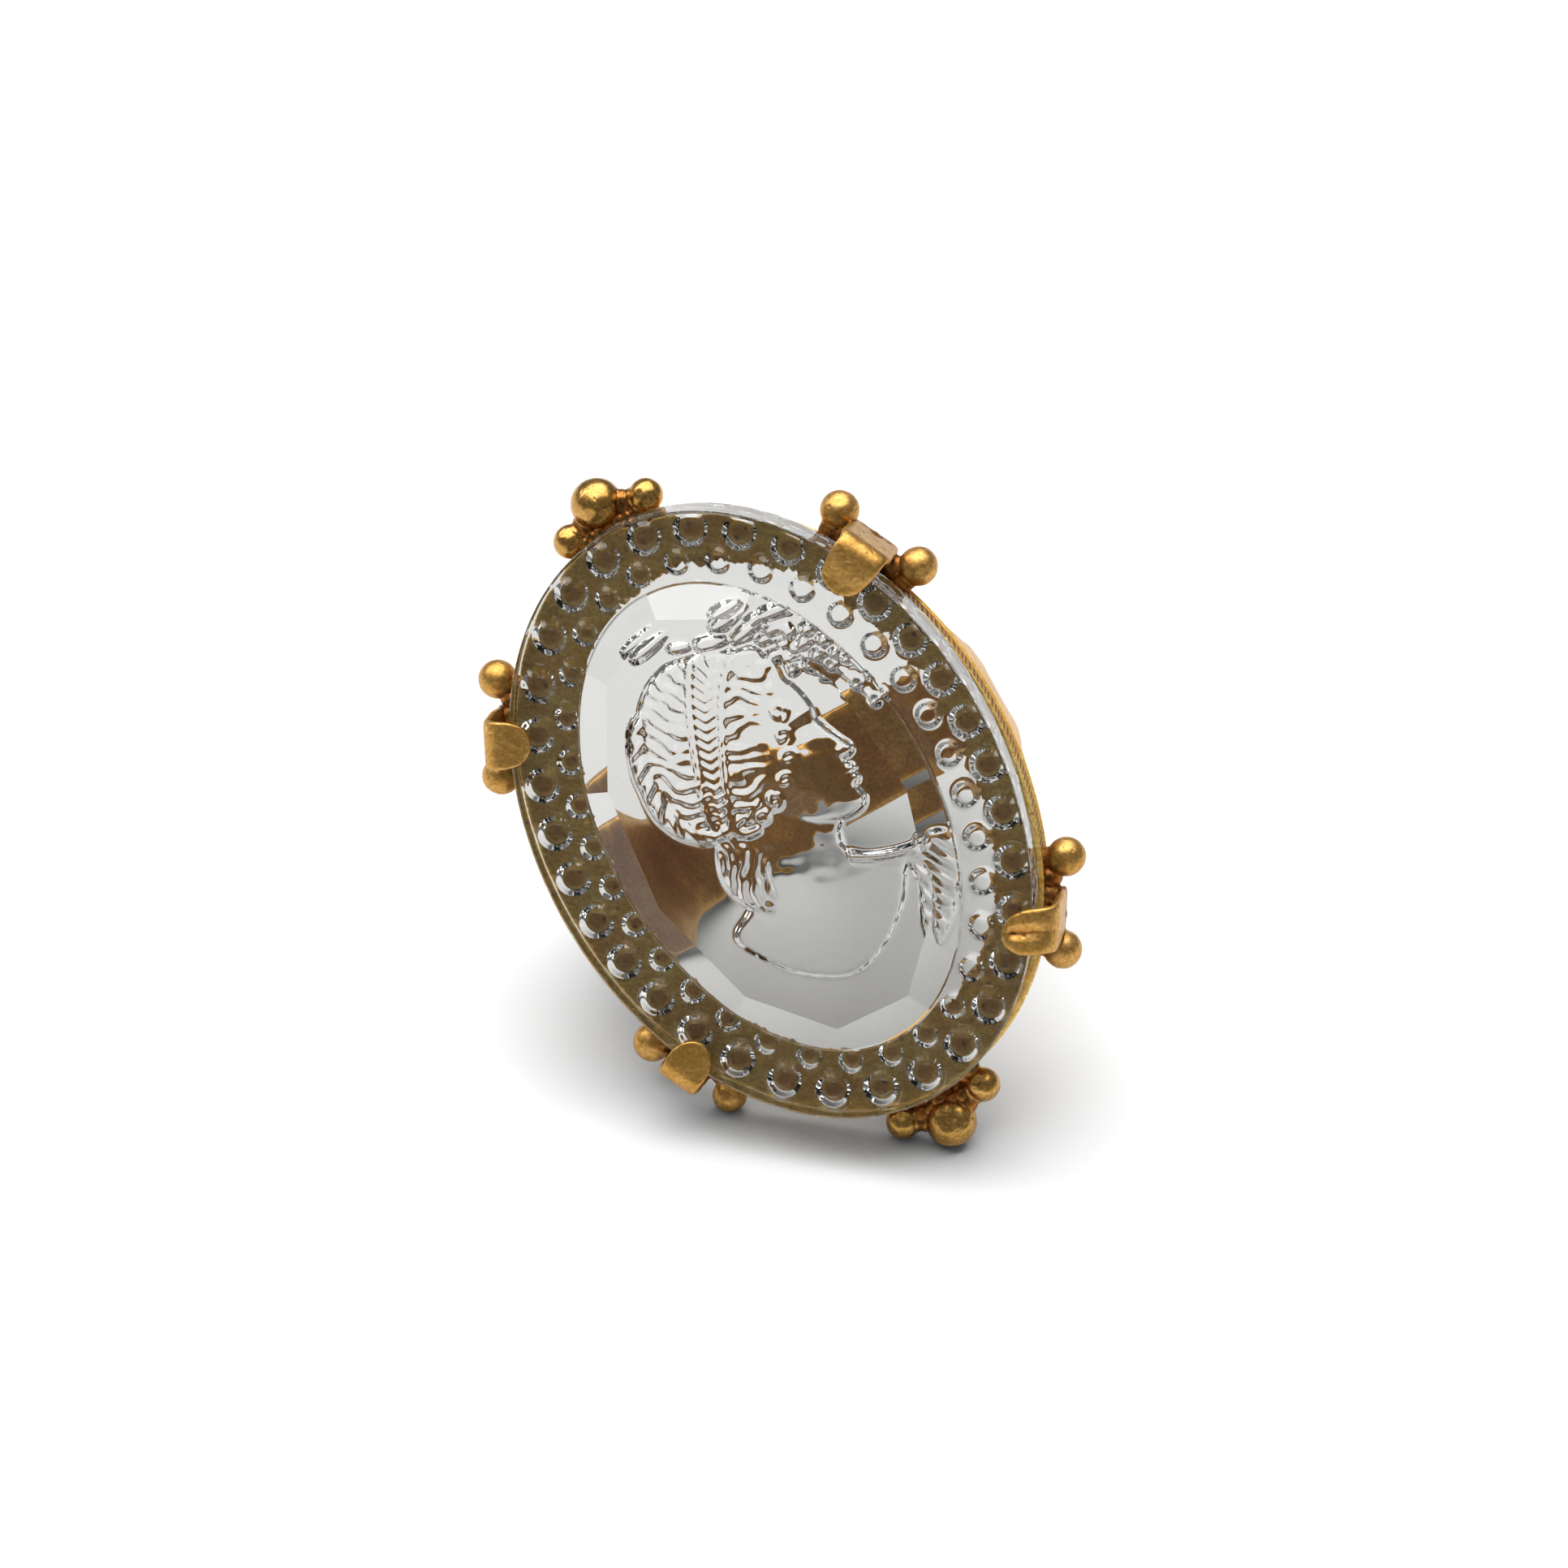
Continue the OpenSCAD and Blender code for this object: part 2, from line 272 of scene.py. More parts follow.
def rest_axes():
    """The row's axes seen from the stone, as three rows.

    The ring rests on the big ball at one end, on the ball after the lower left claw and on
    the edge of the band. The plane under both balls and a point of the band is found, then
    the lowest point of the band's edge over that plane, and so on until neither moves.
    """
    metal = sizes()[1]
    small_r, big_r = mm(metal.ball_r), mm(metal.big_ball_r)
    turn, _, after = CLAWS["claw_lower_left"][:3]
    small = beside(math.radians(turn + after), BALL_OUT, -BALL_DROP)
    turn, _, _, out, _ = CLUSTERS["ball_cluster_bottom"]
    big = beside(math.radians(turn), out, -BALL_DROP)
    band_r = mm(metal.finger_r + metal.band_t)
    tilt = math.radians(BAND_TILT)
    up = np.full(3, 3 ** -0.5)
    for _ in range(12):
        along = up[2] * math.cos(tilt) + up[1] * math.sin(tilt)
        share = band_r / math.hypot(up[0], along)
        foot = on_band([-up[0] * share, -mm(metal.band_w) / 2, -along * share])
        a, b = big - foot, small - foot
        det = (a @ a) * (b @ b) - (a @ b) ** 2
        flat = ((big_r * (b @ b) - small_r * (a @ b)) * a + (small_r * (a @ a) - big_r * (a @ b)) * b) / det
        square = np.cross(b, a)
        up = flat + math.sqrt(1 - flat @ flat) * square / np.linalg.norm(square)
    back = up[2] * up - np.array([0, 0, 1.0])
    back /= np.linalg.norm(back)
    return np.stack([np.cross(back, up), back, up])


def placed(points):
    """Carries points from the stone's axes in millimetres to the row's frame in metres.

    The turn is the rest pose, and the shift puts the far side of the glass where the packed
    stone has it.
    """
    stone = sizes()[0]
    axes = rest_axes()
    face = SEAT_GAP + mm(stone.flange)
    wide, long = mm(stone.width) / 2, mm(stone.length) / 2
    reach = [math.hypot(wide * d[0], long * d[1]) + max(face * d[2], SEAT_GAP * d[2]) for d in axes]
    shift = np.array(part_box("stone")[1]) / MM - np.array(reach)
    return (np.asarray(points, float) @ axes.T + shift) * MM


def waves(points, scale, seed, count=14):
    """Smooth noise between about -1 and 1: a sum of sine waves of random direction and phase, with
    lengths near scale."""
    draw = np.random.default_rng(SEED + seed)
    size = points.shape[-1]
    way = draw.normal(size=(count, size))
    way /= np.linalg.norm(way, axis=1, keepdims=True)
    pitch = 2 * np.pi / (scale * draw.uniform(0.7, 1.6, count))
    phase = draw.uniform(0, 2 * np.pi, count)
    total = np.zeros(points.shape[:-1])
    for k in range(count):
        total += np.sin(points @ way[k] * pitch[k] + phase[k])
    return total / math.sqrt(count / 2) / 1.6


def smooth(value, low, high):
    """A smooth step from 0 at low to 1 at high."""
    t = np.clip((value - low) / (high - low), 0, 1)
    return t * t * (3 - 2 * t)


def curve_through(points, steps, closed=False):
    """A smooth curve through chosen points: each stretch is a Catmull-Rom cubic of the four points
    round it."""
    p = np.asarray(points, float)
    if closed:
        p = np.concatenate([p[-1:], p, p[:2]])
    else:
        p = np.concatenate([2 * p[:1] - p[1:2], p, 2 * p[-1:] - p[-2:-1]])
    t = np.arange(steps)[:, None] / steps
    parts = []
    for a, b, c, d in zip(p[:-3], p[1:-2], p[2:-1], p[3:]):
        square, cube = 2 * a - 5 * b + 4 * c - d, 3 * b - a - 3 * c + d
        parts.append(0.5 * (2 * b + (c - a) * t + square * t ** 2 + cube * t ** 3))
    if not closed:
        parts.append(p[-2:-1])
    return np.concatenate(parts)


def along_line(points, line):
    """Distance from each point to a line of straight stretches, the share of the line at the
    nearest place, and the side: positive to the left of the line."""
    start, step = line[:-1], np.diff(line, axis=0)
    lengths = np.linalg.norm(step, axis=1)
    before = np.concatenate([[0], np.cumsum(lengths)])
    best = np.full(len(points), 1e9)
    share = np.zeros(len(points))
    side = np.zeros(len(points))
    for a, d, length, done in zip(start, step, lengths, before):
        off = points - a
        t = np.clip(off @ d / (length * length), 0, 1)
        gap = off - t[:, None] * d
        near = np.einsum("ij,ij->i", gap, gap)
        new = near < best
        best[new] = near[new]
        share[new] = (done + t[new] * length) / before[-1]
        side[new] = d[0] * off[new, 1] - d[1] * off[new, 0]
    return np.sqrt(best), share, np.sign(side)


def inside(points, outline):
    """Signed distance to a closed outline, positive inside: the distance to its edge, with the side
    found by counting the edges that a ray crosses."""
    loop = np.concatenate([outline, outline[:1]])
    gap, _, _ = along_line(points, loop)
    within = np.zeros(len(points), bool)
    for (x0, y0), (x1, y1) in zip(loop[:-1], loop[1:]):
        if y0 == y1:
            continue
        crosses = (points[:, 1] < y0) != (points[:, 1] < y1)
        within ^= crosses & (points[:, 0] < x0 + (points[:, 1] - y0) * (x1 - x0) / (y1 - y0))
    return np.where(within, gap, -gap)


def linked(name, data):
    """A new object, put in the scene."""
    thing = bpy.data.objects.new(name, data)
    bpy.context.scene.collection.objects.link(thing)
    return thing


def read(items, key, width, kind):
    """A property of all points, loops or faces of a mesh, width numbers for each, as one row."""
    values = np.empty(len(items) * width, kind)
    items.foreach_get(key, values)
    return values


def new_piece(name, points, faces, material, node, shade=None, marks=None):
    """A mesh piece in the row's frame that rides on the ring and stands for a CAD node.

    points are in the stone's axes in millimetres. shade lists which faces are smooth, and marks
    holds values per point that the material reads.
    """
    mesh = bpy.data.meshes.new(name)
    mesh.from_pydata(placed(points), [], faces)
    mesh.polygons.foreach_set("use_smooth", np.ones(len(mesh.polygons), bool) if shade is None else shade)
    for mark, values in (marks or {}).items():
        mesh.attributes.new(mark, "FLOAT", "POINT").data.foreach_set("value", np.asarray(values, np.float32))
    mesh.materials.append(material)
    mesh.update()
    piece = linked(name, mesh)
    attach(piece, "root")
    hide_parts(node)
    return piece


def strips(rows, count, first=0):
    """Quads between rings of count points each, one ring after the other from index first."""
    i = np.arange(count)
    j = (i + 1) % count
    quads = []
    for r in range(rows - 1):
        low, high = first + r * count, first + (r + 1) * count
        quads.append(np.stack([low + i, low + j, high + j, high + i], -1))
    return np.concatenate(quads)


def tube_faces(rows, around):
    """The faces of a tube of rings that is closed at both ends."""
    ends = [np.arange(around)[::-1].tolist(), (np.arange(around) + (rows - 1) * around).tolist()]
    return strips(rows, around).tolist() + ends


def blunt(wave, power):
    """A wave with its peaks made flatter, so that two of them draw a rounded oblong."""
    return np.sign(wave) * np.abs(wave) ** power


# The glass.

BACK_CELLS = 290


def back_grid(cells):
    """The oval's back as a square grid of points: the square is bent onto a round disc so that its
    rings stay rings, the rings are drawn in towards the middle, and the disc is stretched to the
    oval."""
    stone = sizes()[0]
    step = np.linspace(-1, 1, cells + 1)
    a, b = np.meshgrid(step, step)
    wide = np.abs(a) > np.abs(b)
    reach = np.where(wide, a, b)
    safe = np.where(reach == 0, 1, reach)
    turn = np.where(wide, np.pi / 4 * b / safe, np.pi / 2 - np.pi / 4 * a / safe)
    reach = reach * (0.88 + 0.12 * reach ** 4)
    across = reach * np.cos(turn) * mm(stone.width) / 2
    along = reach * np.sin(turn) * mm(stone.length) / 2
    return np.stack([across, along], -1)


def border(cells):
    """Indices of the grid's border points, counter-clockwise."""
    n = cells + 1
    index = np.arange(n * n).reshape(n, n)
    return np.concatenate([index[0, :-1], index[:-1, -1], index[-1, :0:-1], index[:0:-1, 0]])


def dimple_depth(points, inset, radius, depth, first):
    """Depth of a row of round dimples that stand evenly round the oval: each has a flat floor and a
    wall over the outer part of its radius, steepest at its upper edge."""
    stone = sizes()[0]
    count = stone.dimples
    turn = first + np.arange(count) * 360 / count
    uneven = (stone.length - stone.width) / (stone.length + stone.width) / 2
    turn = np.radians(turn) - uneven * np.sin(2 * np.radians(turn))
    total = np.zeros(len(points))
    for centre in rim(turn, -inset):
        share = np.hypot(*(points - centre).T) / radius
        near = share < 1
        wall = np.clip((1 - share[near]) / DIMPLE_WALL, 0, 1) ** 0.8
        total[near] = np.maximum(total[near], depth * wall)
    return total


def softened(grid, passes):
    """A grid of values with each one drawn towards its neighbours, 1-2-1 along both ways, as
    pressing rounds it."""
    for _ in range(passes):
        grid = np.pad(grid, 1, "edge")
        grid = (grid[:-2] + 2 * grid[1:-1] + grid[2:]) / 4
        grid = (grid[:, :-2] + 2 * grid[:, 1:-1] + grid[:, 2:]) / 4
    return grid


def glass_shape():
    """The glass as one closed mesh: the back grid with its dimples and carving, the outer wall, the
    flat flange, the wall of the raised centre, its facets and the table."""
    stone = sizes()[0]
    grid = back_grid(BACK_CELLS)
    flat = grid.reshape(-1, 2)
    rows = [dimple_depth(flat, inset, radius, depth, first) for inset, radius, depth, _, first in DIMPLE_ROWS]
    sunk = softened((np.maximum(*rows) + carving(flat)).reshape(grid.shape[:2]), 2).ravel()
    back = np.concatenate([flat, (SEAT_GAP + sunk)[:, None]], -1)
    edge = border(BACK_CELLS)
    count = len(edge)
    turn = np.arctan2(flat[edge, 1] / stone.length, flat[edge, 0] / stone.width)

    face = SEAT_GAP + mm(stone.flange)
    table = face + mm(stone.crown_h)
    bevel = 0.12
    walls = [(0, face * 0.5), (0, face - bevel), (-bevel * 0.3, face - bevel * 0.3), (-bevel, face)]
    levels = [(rim(turn, out), z) for out, z in walls]

    corner = np.radians(FIRST_CORNER + np.arange(stone.facets + 1) * 360 / stone.facets)
    corners = rim(corner, -mm(stone.crown_in + stone.facet_w))
    side = np.diff(corners, axis=0)
    outward = np.stack([side[:, 1], -side[:, 0]], -1) / np.linalg.norm(side, axis=1, keepdims=True)
    middle = (corners[:-1] + corners[1:]) / 2
    fall = math.tan(stone.facet_slope)

    def facet_heights(points):
        past = np.einsum("pfk,fk->pf", points[:, None] - middle, outward)
        return table - fall * np.maximum(past, 0)

    fine = corner[0] - 0.3 + np.linspace(0, 2 * np.pi, 7201)
    which = facet_heights(rim(fine, -mm(stone.crown_in))).argmin(axis=1)
    change = np.flatnonzero(np.diff(which))[: stone.facets]
    ridge = (fine[change] + fine[change + 1]) / 2
    ridge = np.append(ridge, ridge[0] + 2 * np.pi)
    first_facet = which[change[0] + 1]
    share = (ridge - ridge[0]) / (2 * np.pi)
    stops = np.round(share * count).astype(int)
    crown_turn = np.concatenate([
        np.linspace(ridge[k], ridge[k + 1], stops[k + 1] - stops[k], endpoint=False)
        for k in range(stone.facets)
    ])
    number = (first_facet + np.repeat(np.arange(stone.facets), np.diff(stops))) % stone.facets
    part = np.concatenate([np.arange(m) / m for m in np.diff(stops)])
    shift = np.argmin(np.abs(np.angle(np.exp(1j * (crown_turn - turn[0])))))
    crown_turn, number, part = (np.roll(v, -shift) for v in (crown_turn, number, part))

    crown = -mm(stone.crown_in)
    foot = rim(crown_turn, crown)
    table_edge = corners[number] + part[:, None] * side[number]
    halfway = (foot + table_edge) / 2
    shoulder = rim(crown_turn, crown - 0.08)
    levels += [
        (rim(crown_turn, crown + 0.1), face),
        (rim(crown_turn, crown + 0.02), face + 0.03),
        (foot, face + 0.12),
        (foot, facet_heights(foot).min(axis=1) - 0.08),
        (shoulder, facet_heights(shoulder).min(axis=1)),
        (halfway, facet_heights(halfway).min(axis=1)),
        (table_edge, table),
    ]
    rings = [np.column_stack([places, np.full(count, height)]) for places, height in levels]
    centre = np.array([[0, 0, table]])

    n = BACK_CELLS + 1
    index = np.arange(n * n).reshape(n, n)
    back_quads = np.stack([index[:-1, :-1], index[1:, :-1], index[1:, 1:], index[:-1, 1:]], -1).reshape(-1, 4)
    first = len(back)
    i = np.arange(count)
    j = (i + 1) % count
    join = np.stack([edge[i], edge[j], first + j, first + i], -1)
    shell = strips(len(rings), count, first)
    last = first + (len(rings) - 1) * count
    fan = np.stack([last + i, last + j, np.full(count, last + count)], -1)
    points = np.concatenate([back, *rings, centre])
    faces = [*back_quads.tolist(), *join.tolist(), *shell.tolist(), *fan.tolist()]
    flat_rows = np.zeros(len(rings) - 1, bool)
    flat_rows[[3, 8, 9]] = True
    smooth_faces = np.concatenate([
        np.ones(len(back_quads) + count, bool), ~np.repeat(flat_rows, count), np.zeros(count, bool)
    ])
    return points, faces, smooth_faces, len(back_quads)


def sharpen(mesh, first_face, limit):
    """Marks as sharp each edge past first_face whose two faces meet at more than limit radians."""
    edge_of = read(mesh.loops, "edge_index", 1, np.int32)
    sides = read(mesh.polygons, "loop_total", 1, np.int32)
    face_of = np.repeat(np.arange(len(sides)), sides)
    normals = read(mesh.polygons, "normal", 3, np.float32).reshape(-1, 3)
    order = np.argsort(edge_of, kind="stable")
    pairs = face_of[order].reshape(-1, 2)
    bend = np.einsum("ij,ij->i", normals[pairs[:, 0]], normals[pairs[:, 1]])
    sharp = (bend < math.cos(limit)) & (pairs.max(axis=1) >= first_face)
    mesh.attributes.new("sharp_edge", "BOOLEAN", "EDGE").data.foreach_set("value", sharp)


# The bust that is cut into the back of the glass. Places are in millimetres on the back,
# with +Y towards the crown of the head and the face looking along +X.

HAIR = [
    (0.0, 8.15), (-1.2, 8.25), (-2.3, 7.8), (-3.3, 6.9), (-3.9, 5.6), (-4.1, 4.2), (-4.1, 3.0),
    (-4.0, 1.8), (-3.5, 0.8), (-2.6, 0.1), (-1.5, -0.4), (-0.6, -0.3), (0.3, 0.2), (1.2, 0.9),
    (2.0, 1.6), (2.1, 2.6), (2.5, 3.6), (3.0, 4.4), (3.5, 5.2), (3.5, 6.2), (2.6, 7.1), (1.4, 7.8),
]
HAIR_ROLL = [
    (-3.1, 6.9), (-3.9, 5.9), (-4.4, 4.7), (-4.55, 3.6), (-4.6, 2.5), (-4.2, 1.4), (-3.4, 0.55),
    (-2.6, 0.15),
]
FACE = [
    (1.0, 6.0), (2.6, 5.9), (3.5, 5.2), (3.85, 4.5), (4.0, 3.8), (4.02, 3.3), (3.9, 2.85),
    (4.1, 2.3), (4.45, 1.55), (4.75, 0.98), (4.62, 0.72), (4.25, 0.6), (4.15, 0.4), (4.38, 0.14),
    (4.36, -0.02), (4.2, -0.12), (4.32, -0.3), (4.27, -0.5), (4.02, -0.72), (4.08, -1.05),
    (4.1, -1.35), (3.85, -1.68), (3.4, -1.8), (2.7, -1.75), (1.6, -1.3), (0.4, -0.4), (-0.6, 0.8),
    (-1.0, 3.0),
]
BUST = [
    (-1.8, 0.6), (-2.5, -0.8), (-2.75, -2.2), (-3.0, -3.1), (-3.5, -3.6), (-4.35, -4.05),
    (-4.5, -4.65), (-3.9, -5.7), (-3.0, -6.85), (-1.9, -7.7), (-0.7, -8.25), (0.6, -8.15),
    (1.9, -7.5), (3.1, -6.5), (4.0, -5.3), (4.5, -4.45), (3.6, -4.15), (2.8, -3.9), (2.25, -3.5),
    (2.05, -2.9), (2.2, -2.2), (2.6, -1.6), (2.2, 0.0), (0.4, 1.2),
]
SHAWL = [
    (4.1, -4.2), (4.9, -4.35), (5.35, -4.05), (6.2, -4.45), (6.25, -5.3), (5.5, -6.7), (4.4, -7.9),
    (3.3, -8.6), (3.5, -7.6), (4.2, -6.3), (4.35, -5.2),
]
TAIL = [
    (-2.7, 0.35), (-3.4, -0.6), (-3.75, -1.7), (-3.6, -2.7), (-3.15, -3.5), (-2.4, -4.05),
    (-1.85, -3.85), (-1.6, -3.0), (-1.3, -2.2), (-1.35, -1.3), (-1.8, -0.5), (-2.2, 0.2),
]
BANDS = [
    [(0.15, 7.9), (-0.5, 6.9), (-1.15, 5.6), (-1.75, 4.2), (-2.25, 2.8), (-2.65, 1.5), (-2.85, 0.3)],
    [(1.75, 7.0), (0.95, 6.2), (0.2, 5.0), (-0.45, 3.8), (-1.0, 2.7), (-1.5, 1.5), (-1.9, 0.5), (-1.7, -0.25),
     (-1.0, -0.35)],
]
COLLAR = [(2.2, -3.5), (3.0, -3.95), (4.0, -4.3), (5.0, -4.5)]
# Each leaf: the foot, the tip and the width.
LEAVES = [
    ((-2.4, 9.2), (-0.1, 9.6), 0.6), ((-0.6, 8.95), (0.55, 8.5), 0.5),
    ((0.6, 8.45), (2.2, 8.0), 0.8), ((1.6, 8.75), (3.35, 8.85), 0.75),
    ((2.2, 7.75), (3.9, 8.05), 0.7), ((3.3, 8.0), (5.15, 7.75), 0.75),
    ((1.9, 7.2), (3.3, 6.75), 0.75), ((3.2, 7.25), (4.7, 7.05), 0.6),
    ((3.1, 6.3), (4.4, 6.35), 0.65), ((0.9, 7.75), (2.0, 7.3), 0.5), ((3.8, 5.9), (5.1, 5.9), 0.5),
]
# Each berry: the middle and the radius.
BERRIES = [
    (4.4, 6.7, 0.34), (5.2, 6.45, 0.36), (4.7, 5.95, 0.33), (5.6, 5.65, 0.32), (4.1, 5.35, 0.3),
    (4.95, 5.15, 0.34), (5.75, 4.85, 0.26),
]
# Sprays of small buds that hang in front of the forehead: a stalk, then the number of buds along it.
SPRAYS = [
    ([(4.9, 4.9), (5.5, 4.1), (5.9, 3.1), (6.2, 2.2)], 3),
    ([(5.6, 4.9), (6.3, 4.1), (6.75, 3.2), (7.0, 2.3)], 3),
]
CURLS = [
    (2.55, 3.95, 0.6), (2.2, 2.9, 0.55), (1.95, 1.9, 0.55), (1.3, 1.05, 0.55), (0.35, 0.45, 0.52),
    (-0.55, 0.05, 0.45),
]


def locks(phase):
    """Overlapping locks: each rises slowly and ends in a short steep drop; 0 to 1."""
    share = phase - np.floor(phase)
    return smooth(share, 0, 0.7) * (1 - smooth(share, 0.8, 1))


def carving(points):
    """Depth of the cut at each point of the back. Forms are laid over each other, the deeper one
    winning, and each has a steep edge, a rounded floor and its own strands, folds or ribs."""
    deep = mm(sizes()[0].carving)
    depth = np.zeros(len(points))
    near = np.flatnonzero((np.abs(points[:, 0]) < 7.6) & (np.abs(points[:, 1]) < 11.2))
    p = points[near]
    x, y = p[:, 0], p[:, 1]
    floor = np.zeros(len(p))

    def form(outline, share, edge=0.12, swell=1.6):
        """A cut of an outline: a steep edge, and a floor that deepens away from it over the swell."""
        gap = inside(p, curve_through(outline, 6, closed=True))
        bowl = 0.66 + 0.34 * (1 - np.exp(-np.maximum(gap, 0) / swell))
        return gap, smooth(gap, -edge / 2, edge / 2) * share * deep * bowl

    def knob(cx, cy, rx, ry):
        """A soft round swelling about a middle, 1 there and fading over the two radii."""
        return np.exp(-(((x - cx) / rx) ** 2 + ((y - cy) / ry) ** 2))

    # Neck and chest, then the face: cheek, brow, socket, lids, wing of the nose, mouth and chin.
    gap, low = form(BUST, 0.6)
    floor = np.maximum(floor, low + 0.05 * smooth(gap, 0, 1.5) * np.cos((x + 0.6) * 0.9))
    gap, low = form(FACE, 0.84, swell=1.1)
    low += smooth(gap, 0.02, 0.25) * (
        0.08 * knob(2.6, 0.9, 1.25, 1.25) - 0.09 * knob(3.25, 2.75, 0.55, 0.3)
        + 0.06 * np.exp(-(((x - 3.3) / 0.75) ** 2 + ((y - 3.35 - 0.1 * (x - 3.3)) / 0.16) ** 2))
        + 0.08 * np.exp(-(((x - 3.2) / 0.38) ** 2 + ((y - 2.7 + 0.5 * (x - 3.2) ** 2) / 0.07) ** 2))
        + 0.05 * np.exp(-(((x - 3.2) / 0.34) ** 2 + ((y - 2.48 - 0.3 * (x - 3.2) ** 2) / 0.06) ** 2))
        + 0.07 * knob(4.18, 0.95, 0.17, 0.2) + 0.05 * knob(3.7, -1.2, 0.42, 0.42)
        - 0.08 * np.exp(-(((x - 4.0) / 0.34) ** 2 + ((y + 0.07 + 0.06 * (4.2 - x)) / 0.05) ** 2))
    )
    floor = np.maximum(floor, low)

    # Hair: locks like the barbs of a feather on both sides of each band.
    gap, hair = form(HAIR, 0.84, swell=0.9)
    first_band = curve_through(BANDS[0], 8)
    second_band = curve_through(BANDS[1], 8)
    off_first, run_first, side_first = along_line(p, first_band)
    off_second, run_second, side_second = along_line(p, second_band)
    sway = 0.28 * waves(p, 1.9, 11) + 0.1 * waves(p, 0.7, 12)
    behind = locks(run_first * 13.5 + 0.42 * off_first + 0.14 * off_first ** 2 + sway)
    first_side, second_side = run_first * 17 - 1.5 * off_first, run_second * 19 - 1.5 * off_second
    plait = locks(np.where(off_first < off_second, first_side, second_side))
    front = locks(run_second * 12.5 + 0.5 * off_second - 0.06 * off_second ** 2 + 1.25 * sway)
    strands = np.where(side_first < 0, behind, np.where(side_second > 0, front, plait))
    fine = 0.5 + 0.5 * np.sin(2 * np.pi * (run_first * 30 + 1.1 * off_first + 0.8 * sway))
    hair += smooth(gap, 0.03, 0.3) * (0.24 * strands + 0.03 * fine - 0.16)
    for cx, cy, r in CURLS:
        reach = np.hypot(x - cx, y - cy)
        turn = np.arctan2(y - cy, x - cx)
        hold = smooth(r - reach, -0.06, 0.14)
        spiral = 0.5 + 0.5 * np.cos(turn + 2 * np.pi * reach / (r * 0.75))
        hair = hair * (1 - hold) + hold * deep * (0.66 + 0.34 * spiral)
    floor = np.maximum(floor, hair)

    # A twisted roll of hair closes the back of the head.
    off, run, side = along_line(p, curve_through(HAIR_ROLL, 8))
    width = 0.52 * np.sqrt(np.clip(1 - (2 * run - 1) ** 6, 0.05, 1))
    twist = locks(run * 8 + side * off * 0.9)
    dome = np.sqrt(np.clip(1 - (off / width) ** 2, 0, 1))
    rope = 0.42 + 0.38 * dome + 0.3 * twist * dome
    floor = np.maximum(floor, smooth(width - off, -0.02, 0.1) * deep * rope)

    # The tuft of hair that hangs from the knot.
    gap, tuft = form(TAIL, 0.78, swell=0.6)
    strands = locks(x * 1.5 - 0.35 * y + 0.45 * np.sin(y * 1.7) + 0.2 * waves(p, 0.9, 21))
    floor = np.maximum(floor, tuft + smooth(gap, 0.02, 0.2) * (0.26 * strands - 0.14))

    # Bands across the hair, and the knot where they meet.
    for off in (off_first, off_second):
        groove = 1.05 - 0.3 * np.exp(-(off / 0.06) ** 2)
        floor = np.maximum(floor, smooth(0.19 - off, -0.05, 0.07) * deep * groove)
    knot = np.hypot(x + 2.35, y - 0.25)
    floor = np.maximum(floor, deep * 0.95 * np.sqrt(np.clip(1 - (knot / 0.5) ** 2, 0, 1)))

    # Collar and shawl on the shoulder.
    gap, shawl = form(SHAWL, 0.58, swell=0.5)
    shawl += smooth(gap, 0.02, 0.25) * 0.2 * (locks(x * 1.1 + y * 0.6) - 0.5)
    floor = np.maximum(floor, shawl)
    off = along_line(p, curve_through(COLLAR, 6))[0]
    floor = np.maximum(floor, smooth(0.18 - off, -0.05, 0.07) * deep * 0.8)

    # Wreath of long leaves with berries and hanging buds.
    for foot, tip, wide in LEAVES:
        foot = np.array(foot)
        line = np.array(tip) - foot
        length = np.linalg.norm(line)
        u = (p - foot) @ line / length ** 2
        v = ((p - foot) @ np.array([-line[1], line[0]])) / length
        half = wide / 2 * np.sqrt(np.clip(4 * u * (1 - u), 0, 1)) * (1.12 - 0.24 * u)
        gap = np.where((u > 0) & (u < 1), half - np.abs(v), -1)
        rib = np.exp(-(v / 0.07) ** 2)
        blade = 0.5 + 0.3 * smooth(gap, 0, 0.3) - 0.2 * rib
        floor = np.maximum(floor, smooth(gap, -0.02, 0.1) * deep * blade)
    beads = list(BERRIES)
    for stalk, buds in SPRAYS:
        line = curve_through(stalk, 6)
        off = along_line(p, line)[0]
        floor = np.maximum(floor, smooth(0.08 - off, -0.03, 0.04) * deep * 0.45)
        places = line[np.linspace(len(line) // 4, len(line) - 1, buds).astype(int)]
        beads += [(bx, by, 0.27) for bx, by in places]
    for bx, by, r in beads:
        cap = np.sqrt(np.clip(1 - ((x - bx) ** 2 + (y - by) ** 2) / (r * r), 0, 1))
        floor = np.maximum(floor, deep * 0.75 * cap ** 0.8)

    floor += 0.012 * waves(p, 0.9, 31) * (floor > 0.05)
    depth[near] = np.maximum(floor, 0)
    return depth


# The metal.

def round_the_rim(turn, table):
    """Values of a table of turns in degrees, carried smoothly round the rim; turn in radians."""
    places, values = zip(*table)
    spread = np.linspace(-5, 5, 11)[:, None]
    return np.interp(np.degrees(turn)[None] + spread, places, values, period=360).mean(axis=0)


